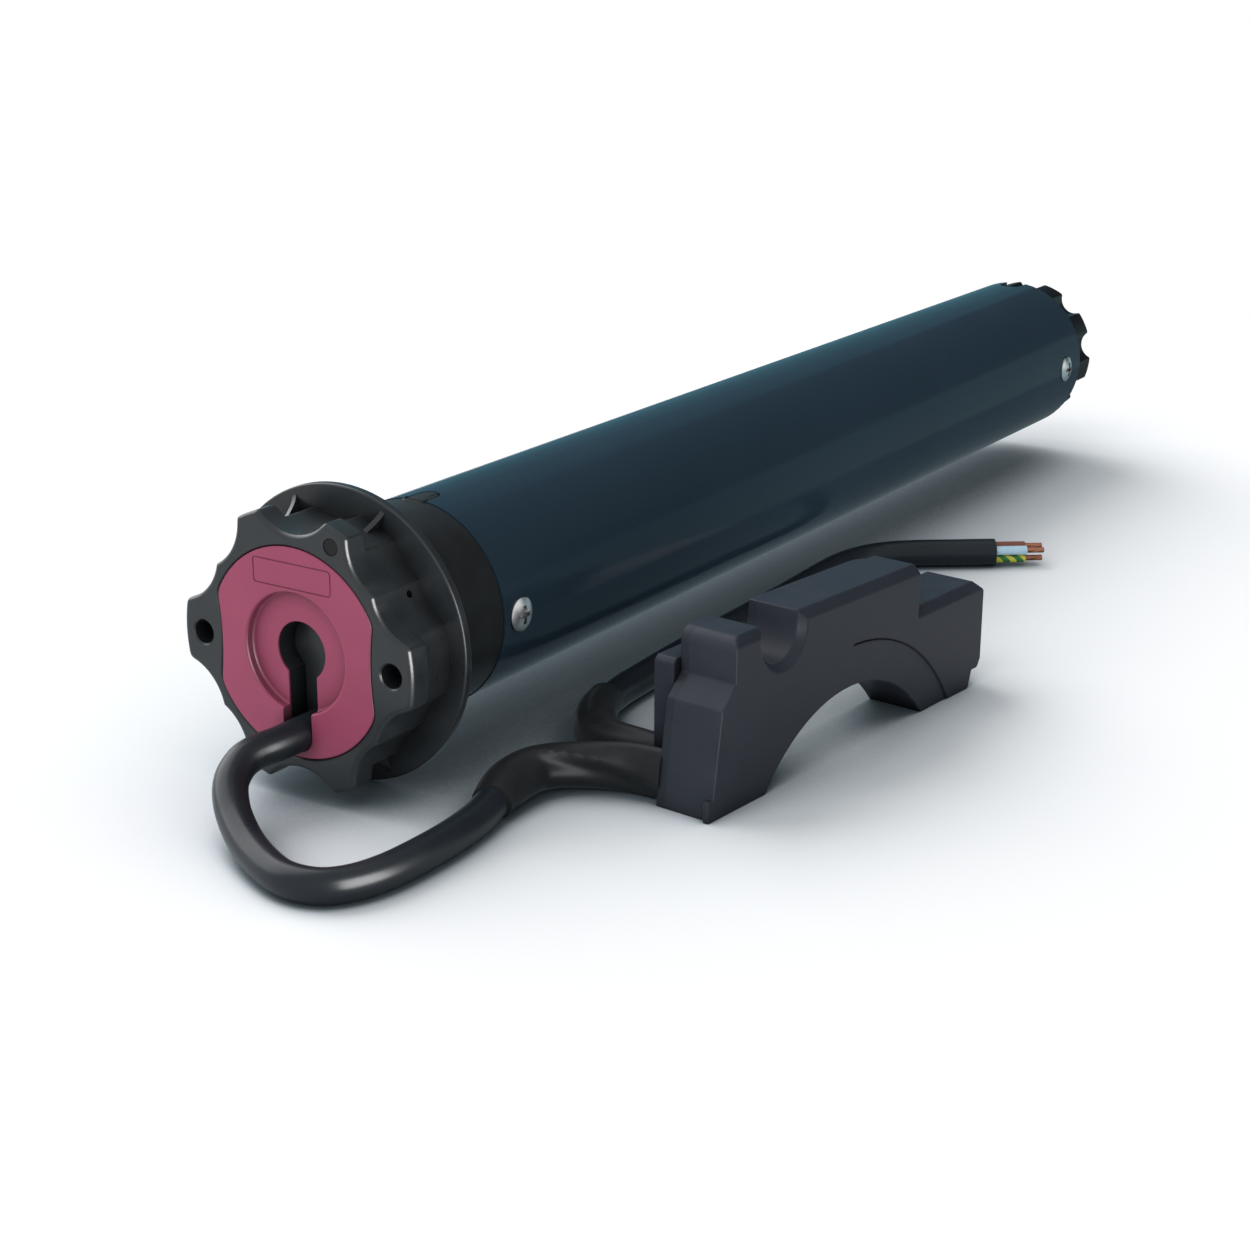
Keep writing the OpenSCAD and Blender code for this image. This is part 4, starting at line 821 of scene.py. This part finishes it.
def add_fin(shape, angle):
    """A thin fin whose hollow upper edge rises from the body to the flange."""
    low = RELIEF_R - PAST
    edge = [(HEAD_DEPTH, low)]
    for k in range(FIN_PARTS + 1):
        t = QUARTER_TURN * k / FIN_PARTS
        edge.append((
            HEAD_DEPTH - FIN_LEN * math.cos(t) ** FIN_HOLLOW,
            RELIEF_R + (FIN_R - RELIEF_R) * (1 - math.cos(t)),
        ))
    edge.append((HEAD_DEPTH + LIP, FIN_R))
    edge.append((HEAD_DEPTH + LIP, low))
    out = Vector((0, math.cos(angle), math.sin(angle)))
    half = Vector((0, -math.sin(angle), math.cos(angle))) * FIN_T / 2
    sides = []
    for way in (-1, 1):
        sides.append([shape.verts.new((Vector((x, 0, 0)) + out * r + half * way) * MM) for x, r in edge])
    join_rings(shape, sides)
    close_ends(shape, sides)


def build_flange():
    """The head's round flange with its spigot, and the fins between flange and narrow lobes."""
    back = HEAD_DEPTH + FLANGE_T
    steps = quarter_steps(FLANGE_ROUND)
    profile = [(HEAD_DEPTH, PLUG_BORE_R)]
    profile.extend((HEAD_DEPTH + depth, FLANGE_R - inset) for depth, inset in steps)
    profile.extend((back - depth, FLANGE_R - inset) for depth, inset in reversed(steps))
    profile.extend([(back, SPIGOT_R), (back + SPIGOT_LEN, SPIGOT_R), (back + SPIGOT_LEN, PLUG_BORE_R)])
    shape = loft(bmesh.new(), [(x, round_ring(r, sides=FLANGE_SIDES)) for x, r in profile], closed=True)
    for degrees in NARROW_LOBES:
        add_fin(shape, math.radians(degrees))
    flange = mesh_piece("head_flange", shape, head_black, CARVED_SHARP_DEG)
    even_shading(flange)
    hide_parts("head_body")
    return flange


def build_plate():
    """The face plate with its dish, keyhole and label frame."""
    stations = [(x, eased(plate_ring(-inset))) for x, inset in quarter_steps(PLATE_ROUND)]
    stations.append((PLATE_T, eased(plate_ring())))
    plate = mesh_piece("plate_front", loft(bmesh.new(), stations), maroon)
    steps = quarter_steps(RECESS_ROUND)
    bowl = [(-PAST, RECESS_R + RECESS_ROUND)]
    bowl.extend((depth, RECESS_R + inset) for depth, inset in steps)
    bowl.extend((RECESS_DEPTH - depth, RECESS_R - inset) for depth, inset in reversed(steps))
    dish = loft(bmesh.new(), [(x, round_ring(r, sides=RECESS_SIDES)) for x, r in bowl])
    keyhole = loft(bmesh.new(), [(-PAST, key_ring()), (PLATE_T + PAST, key_ring())])
    line = 2 * LABEL_LINE
    groove = loft(bmesh.new(), [
        (-PAST, label_ring(0)), (LABEL_DEPTH, label_ring(line / 4)),
        (LABEL_DEPTH, label_ring(line * 3 / 4)), (-PAST, label_ring(line)),
    ], closed=True)
    carve(plate, [dish, keyhole, groove])
    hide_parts("face_plate")
    return plate


head_lobes = build_head()
head_flange = build_flange()
plate_front = build_plate()


# CAD nodes with softened edges

MODULE_AT = Vector((34.5, -74.4)) * MM
MODULE_TURN = math.radians(-5.2)
MODULE_SEAM = 11.8 * MM
SEAM_SHARE = 0.12
STEP_X = 49.5 * MM
STEP_R = 47.3 * MM
STEP_DEPTH = 0.5 * MM
SAME = 0.01 * MM
SAME_POINT = 0.002 * MM
FLAT_DEG = 1
SOFT_DEG = 32
SOFT_STEPS = 3


def in_module(place):
    """A point's distance along the module from its left end, and its depth behind the front face."""
    over = place.x - MODULE_AT.x
    back = place.y - MODULE_AT.y
    along = over * math.cos(MODULE_TURN) + back * math.sin(MODULE_TURN)
    depth = back * math.cos(MODULE_TURN) - over * math.sin(MODULE_TURN)
    return along, depth


def seam_share(edge):
    """Share of the rounding that an edge of the module takes: little along the seam of its cover."""
    at_seam = all(abs(in_module(vert.co)[1] - MODULE_SEAM) < SAME for vert in edge.verts)
    return SEAM_SHARE if at_seam else 1.0


def whole_share(edge):
    return 1.0


def slope_step(shape):
    """Lets the step round the module's arch run out to nothing at its left end."""
    inward = Vector((-math.sin(MODULE_TURN), math.cos(MODULE_TURN), 0))
    for vert in shape.verts:
        along, depth = in_module(vert.co)
        run = (along - STEP_X) / STEP_R
        if abs(depth - STEP_DEPTH) < SAME and -SAME < run < 1 + SAME:
            vert.co -= inward * STEP_DEPTH * (1 - max(run, 0))


def soften(node, width_mm, material, body=HOUSING, share=whole_share, reshape=None):
    """A copy of a CAD node with rounded edges, which stands for the node."""
    shape = bmesh.new()
    shape.from_mesh(frame["nodes"][node].data)
    if reshape:
        reshape(shape)
    bmesh.ops.remove_doubles(shape, verts=shape.verts[:], dist=SAME_POINT)
    bmesh.ops.dissolve_limit(
        shape, angle_limit=math.radians(FLAT_DEG), verts=shape.verts[:], edges=shape.edges[:])
    weights = shape.edges.layers.float.new("bevel_weight_edge")
    for edge in shape.edges:
        if len(edge.link_faces) == 2 and edge.calc_face_angle() > math.radians(SOFT_DEG):
            edge[weights] = share(edge)
    mesh = bpy.data.meshes.new(node + "_soft")
    shape.to_mesh(mesh)
    shape.free()
    mesh.shade_smooth()
    obj = add_object(node + "_soft", mesh)
    rounding = obj.modifiers.new("rounding", "BEVEL")
    rounding.width = width_mm * MM
    rounding.segments = SOFT_STEPS
    rounding.limit_method = "WEIGHT"
    rounding.harden_normals = False
    rounding.use_clamp_overlap = False
    even_shading(obj)
    finish_piece(obj, material, body)
    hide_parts(node)
    return obj


COLLAR_SOFT = 0.4
WHEEL_SOFT = 0.5
CASE_SOFT = 0.35
ENTRY_SOFT = 0.4

soften("head_collar", COLLAR_SOFT, collar_black)
soften("drive_wheel", WHEEL_SOFT, deep_black, body="output")
module_case = soften(
    "module_case", CASE_SOFT, module_grey, share=seam_share, reshape=slope_step)
soften("module_back_cover", CASE_SOFT, module_grey, share=seam_share)
soften("module_cable_entry", ENTRY_SOFT, module_grey)


# Finishes of the CAD nodes that show as they are

SLOT_FINISH = {
    "head_plastic": head_black,
    "plate_plastic": maroon,
    "tube_paint": tube_paint,
    "zinc_steel": zinc,
    "steel": steel,
    "cast_alloy": alloy,
    "copper": copper,
    "bronze": bronze,
    "board": board_green,
    "inner_plastic": pale_plastic,
    "friction_lining": lining,
    "module_plastic": module_grey,
    "lead_sheath": sheath_black,
    "core_sheath": core_brown,
}

for entry in frame["record"]["subparts"]:
    node_object = frame["nodes"][entry["node"]]
    node_object.data.materials.clear()
    node_object.data.materials.append(SLOT_FINISH[entry["material_slot"]])


# Floor, in metres as all that follows

FLOOR_HALF = 6.0
FLOOR_CENTRE = Vector((0.12, -0.03, FLOOR_Z))
FLOOR_ROUGH = 0.8
FADE_FROM = 0.27
FADE_TO = 0.5
# Painted shadow on the floor: the floor's colour darkens with nearness to the object, in these shades.
PAINTED_SHADOW_REACH = 0.1
PAINTED_SHADOW_SAMPLES = 16
PAINTED_SHADOW_SHADES = [
    (0.33, (0.15, 0.188, 0.213)), (0.62, (0.74, 0.79, 0.83)), (0.96, (0.985, 0.99, 1.0)),
]


def add_floor():
    """A pale floor with a painted shadow that darkens it near the object, and that fades into the white
    backdrop away from the object.
    """
    mesh = bpy.data.meshes.new("floor")
    h = FLOOR_HALF
    mesh.from_pydata([(-h, -h, 0), (h, -h, 0), (h, h, 0), (-h, h, 0)], [], [(0, 1, 2, 3)])
    floor = add_object("floor", mesh)
    floor.location = FLOOR_CENTRE
    material, tree, shader, coords = start_material("floor_pale")
    # Painted shadow: the base colour comes from how near other surfaces are.
    near = tree.nodes.new("ShaderNodeAmbientOcclusion")
    near.samples = PAINTED_SHADOW_SAMPLES
    near.inputs["Distance"].default_value = PAINTED_SHADOW_REACH
    shade = tree.nodes.new("ShaderNodeValToRGB")
    shade.color_ramp.elements.new(PAINTED_SHADOW_SHADES[1][0])
    for element, (position, colour) in zip(shade.color_ramp.elements, PAINTED_SHADOW_SHADES):
        element.position = position
        element.color = (*colour, 1)
    tree.links.new(near.outputs["AO"], shade.inputs["Fac"])
    tree.links.new(shade.outputs["Color"], shader.inputs["Base Color"])
    shader.inputs["Roughness"].default_value = FLOOR_ROUGH
    shader.inputs["Specular IOR Level"].default_value = 0.0
    length = tree.nodes.new("ShaderNodeVectorMath")
    length.operation = "LENGTH"
    tree.links.new(coords, length.inputs[0])
    fade = tree.nodes.new("ShaderNodeMapRange")
    fade.interpolation_type = "SMOOTHSTEP"
    fade.inputs["From Min"].default_value = FADE_FROM
    fade.inputs["From Max"].default_value = FADE_TO
    tree.links.new(length.outputs["Value"], fade.inputs["Value"])
    clear = tree.nodes.new("ShaderNodeBsdfTransparent")
    mix = tree.nodes.new("ShaderNodeMixShader")
    tree.links.new(fade.outputs["Result"], mix.inputs["Fac"])
    tree.links.new(shader.outputs["BSDF"], mix.inputs[1])
    tree.links.new(clear.outputs["BSDF"], mix.inputs[2])
    tree.links.new(mix.outputs["Shader"], tree.nodes["Material Output"].inputs["Surface"])
    mesh.materials.append(material)


# Lamps

SUN_SPREAD = math.radians(60)
BACK_FROM = (0.1, 0.8, 0.6)
BACK_STRENGTH = 2.35
FRONT_FROM = (-0.85, 0.05, 0.55)
FRONT_STRENGTH = 1.1
SIDE_FROM = (-1, 0.1, 0.1)
SIDE_STRENGTH = 0.6
CARD_AT = (-0.03, -0.13, 0.015)
CARD_AIM = (0, -0.02, 0.01)
CARD_SIZE = (0.1, 0.09)
EDGE_POWER = 0.85
RIM_POWER = 0.3
LOW_CARD_AT = (-0.03, -0.13, -0.012)
LOW_CARD_AIM = (0.035, -0.075, -0.012)
LOW_CARD_SIZE = (0.1, 0.02)
LOW_CARD_POWER = 0.16


def light_only(light, receivers):
    """Limits a lamp to some pieces."""
    group = bpy.data.collections.new(light.name + "_receivers")
    for piece in receivers:
        group.objects.link(piece)
    light.light_linking.receiver_collection = group


def add_card(name, place, aim, size, power, receivers):
    """A small bright card that shows only in the reflections of some pieces."""
    data = bpy.data.lights.new(name, "AREA")
    data.shape = "RECTANGLE"
    data.size, data.size_y = size
    data.energy = power
    light = add_object(name, data)
    light.location = place
    light.rotation_euler = (Vector(aim) - Vector(place)).to_track_quat("-Z", "Y").to_euler()
    light.visible_diffuse = False
    light_only(light, receivers)


def add_sun(name, direction, strength, mirrored):
    """A broad, even light from far away, which may also show in reflections."""
    data = bpy.data.lights.new(name, "SUN")
    data.energy = strength
    data.angle = SUN_SPREAD
    light = add_object(name, data)
    light.rotation_euler = (-Vector(direction)).to_track_quat("-Z", "Y").to_euler()
    light.visible_glossy = mirrored
    return light


# Panels in the reflections: upright ones beyond the drive end and level ones just over the floor

FLAG_X = 1.3
FLAG_NEAR_Y = -1.4
FLAG_MID_Y = 0.25
FLAG_FAR_Y = 1.6
FLAG_BOTTOM = -0.6
FLAG_HORIZON = 0.15
FLAG_TOP = 1.5
LOW_FLAG_Z = FLOOR_Z + MM
LOW_HEAD_X = 0.02
LOW_NEAR_X = 0.2
LOW_FAR_X = 0.6
LOW_FRONT_Y = -0.5
LOW_TUBE_Y = -0.06
LOW_BACK_Y = 0.15
DARK_TINT = (0.035, 0.05, 0.07)
PALE_TINT = (0.3, 0.43, 0.45)
TEAL_TINT = (0.08, 0.23, 0.3)
LOW_TINT = (0.15, 0.2, 0.22)
NEAR_TINT = (0.33, 0.46, 0.47)


def corners(first, last):
    """Corners of a rectangle from its lowest and highest pair of values."""
    return [(first[0], first[1]), (last[0], first[1]), (last[0], last[1]), (first[0], last[1])]


def upright(low, high, bottom, top):
    return [(FLAG_X, y, z) for y, z in corners((low, bottom), (high, top))]


def level(near, far, low, high):
    return [(x, y, LOW_FLAG_Z) for x, y in corners((near, low), (far, high))]


def add_flag(name, points, tint):
    """A dim panel that shows only in reflections."""
    mesh = bpy.data.meshes.new(name)
    mesh.from_pydata(points, [], [(0, 1, 2, 3)])
    flag = add_object(name, mesh)
    material, _, shader, _ = start_material(name)
    shader.inputs["Base Color"].default_value = (0, 0, 0, 1)
    shader.inputs["Specular IOR Level"].default_value = 0.0
    shader.inputs["Emission Color"].default_value = (*tint, 1)
    shader.inputs["Emission Strength"].default_value = 1.0
    mesh.materials.append(material)
    flag.visible_camera = False
    flag.visible_diffuse = False
    flag.visible_transmission = False
    flag.visible_shadow = False


# Backdrop

SKY_TINT = (0.95, 0.98, 1.0)
SKY_STRENGTH = 0.45
WHITE = (1, 1, 1)


def background(tree, colour, strength):
    node = tree.nodes.new("ShaderNodeBackground")
    node.inputs["Color"].default_value = (*colour, 1)
    node.inputs["Strength"].default_value = strength
    return node.outputs["Background"]


def add_nodes(tree, one, two):
    node = tree.nodes.new("ShaderNodeMath")
    node.operation = "ADD"
    node.use_clamp = True
    tree.links.new(one, node.inputs[0])
    tree.links.new(two, node.inputs[1])
    return node.outputs["Value"]


def add_backdrop():
    """White where the camera or a reflection sees it, and soft in its light."""
    world = bpy.data.worlds.new("backdrop")
    bpy.context.scene.world = world
    world.use_nodes = True
    tree = world.node_tree
    tree.nodes.clear()
    path = tree.nodes.new("ShaderNodeLightPath")
    seen = add_nodes(tree, path.outputs["Is Camera Ray"], path.outputs["Is Glossy Ray"])
    seen = add_nodes(tree, seen, path.outputs["Is Transmission Ray"])
    mix = tree.nodes.new("ShaderNodeMixShader")
    tree.links.new(seen, mix.inputs["Fac"])
    tree.links.new(background(tree, SKY_TINT, SKY_STRENGTH), mix.inputs[1])
    tree.links.new(background(tree, WHITE, 1.0), mix.inputs[2])
    out = tree.nodes.new("ShaderNodeOutputWorld")
    tree.links.new(mix.outputs["Shader"], out.inputs["Surface"])


add_floor()
add_sun("back_light", BACK_FROM, BACK_STRENGTH, mirrored=True)
add_sun("front_light", FRONT_FROM, FRONT_STRENGTH, mirrored=False)
side_light = add_sun("side_light", SIDE_FROM, SIDE_STRENGTH, mirrored=False)
light_only(side_light, [module_case])
add_card("edge_card", CARD_AT, CARD_AIM, CARD_SIZE, EDGE_POWER, [head_lobes, plate_front, motor_lead])
add_card("rim_card", CARD_AT, CARD_AIM, CARD_SIZE, RIM_POWER, [head_flange, motor_sleeve])
add_card("module_card", LOW_CARD_AT, LOW_CARD_AIM, LOW_CARD_SIZE, LOW_CARD_POWER, [module_case])
add_flag("dark_flag", upright(FLAG_NEAR_Y, FLAG_MID_Y, FLAG_HORIZON, FLAG_TOP), DARK_TINT)
add_flag("pale_flag", upright(FLAG_NEAR_Y, FLAG_MID_Y, FLAG_BOTTOM, FLAG_HORIZON), PALE_TINT)
add_flag("teal_flag", upright(FLAG_MID_Y, FLAG_FAR_Y, FLAG_BOTTOM, FLAG_TOP), TEAL_TINT)
add_flag("low_flag", level(LOW_HEAD_X, LOW_FAR_X, LOW_TUBE_Y, LOW_BACK_Y), LOW_TINT)
add_flag("far_flag", level(LOW_FAR_X, FLAG_X, LOW_TUBE_Y, FLAG_MID_Y), PALE_TINT)
add_flag("near_flag", level(LOW_NEAR_X, FLAG_X, LOW_FRONT_Y, LOW_TUBE_Y), NEAR_TINT)
add_backdrop()
bpy.context.scene.view_settings.view_transform = "Standard"
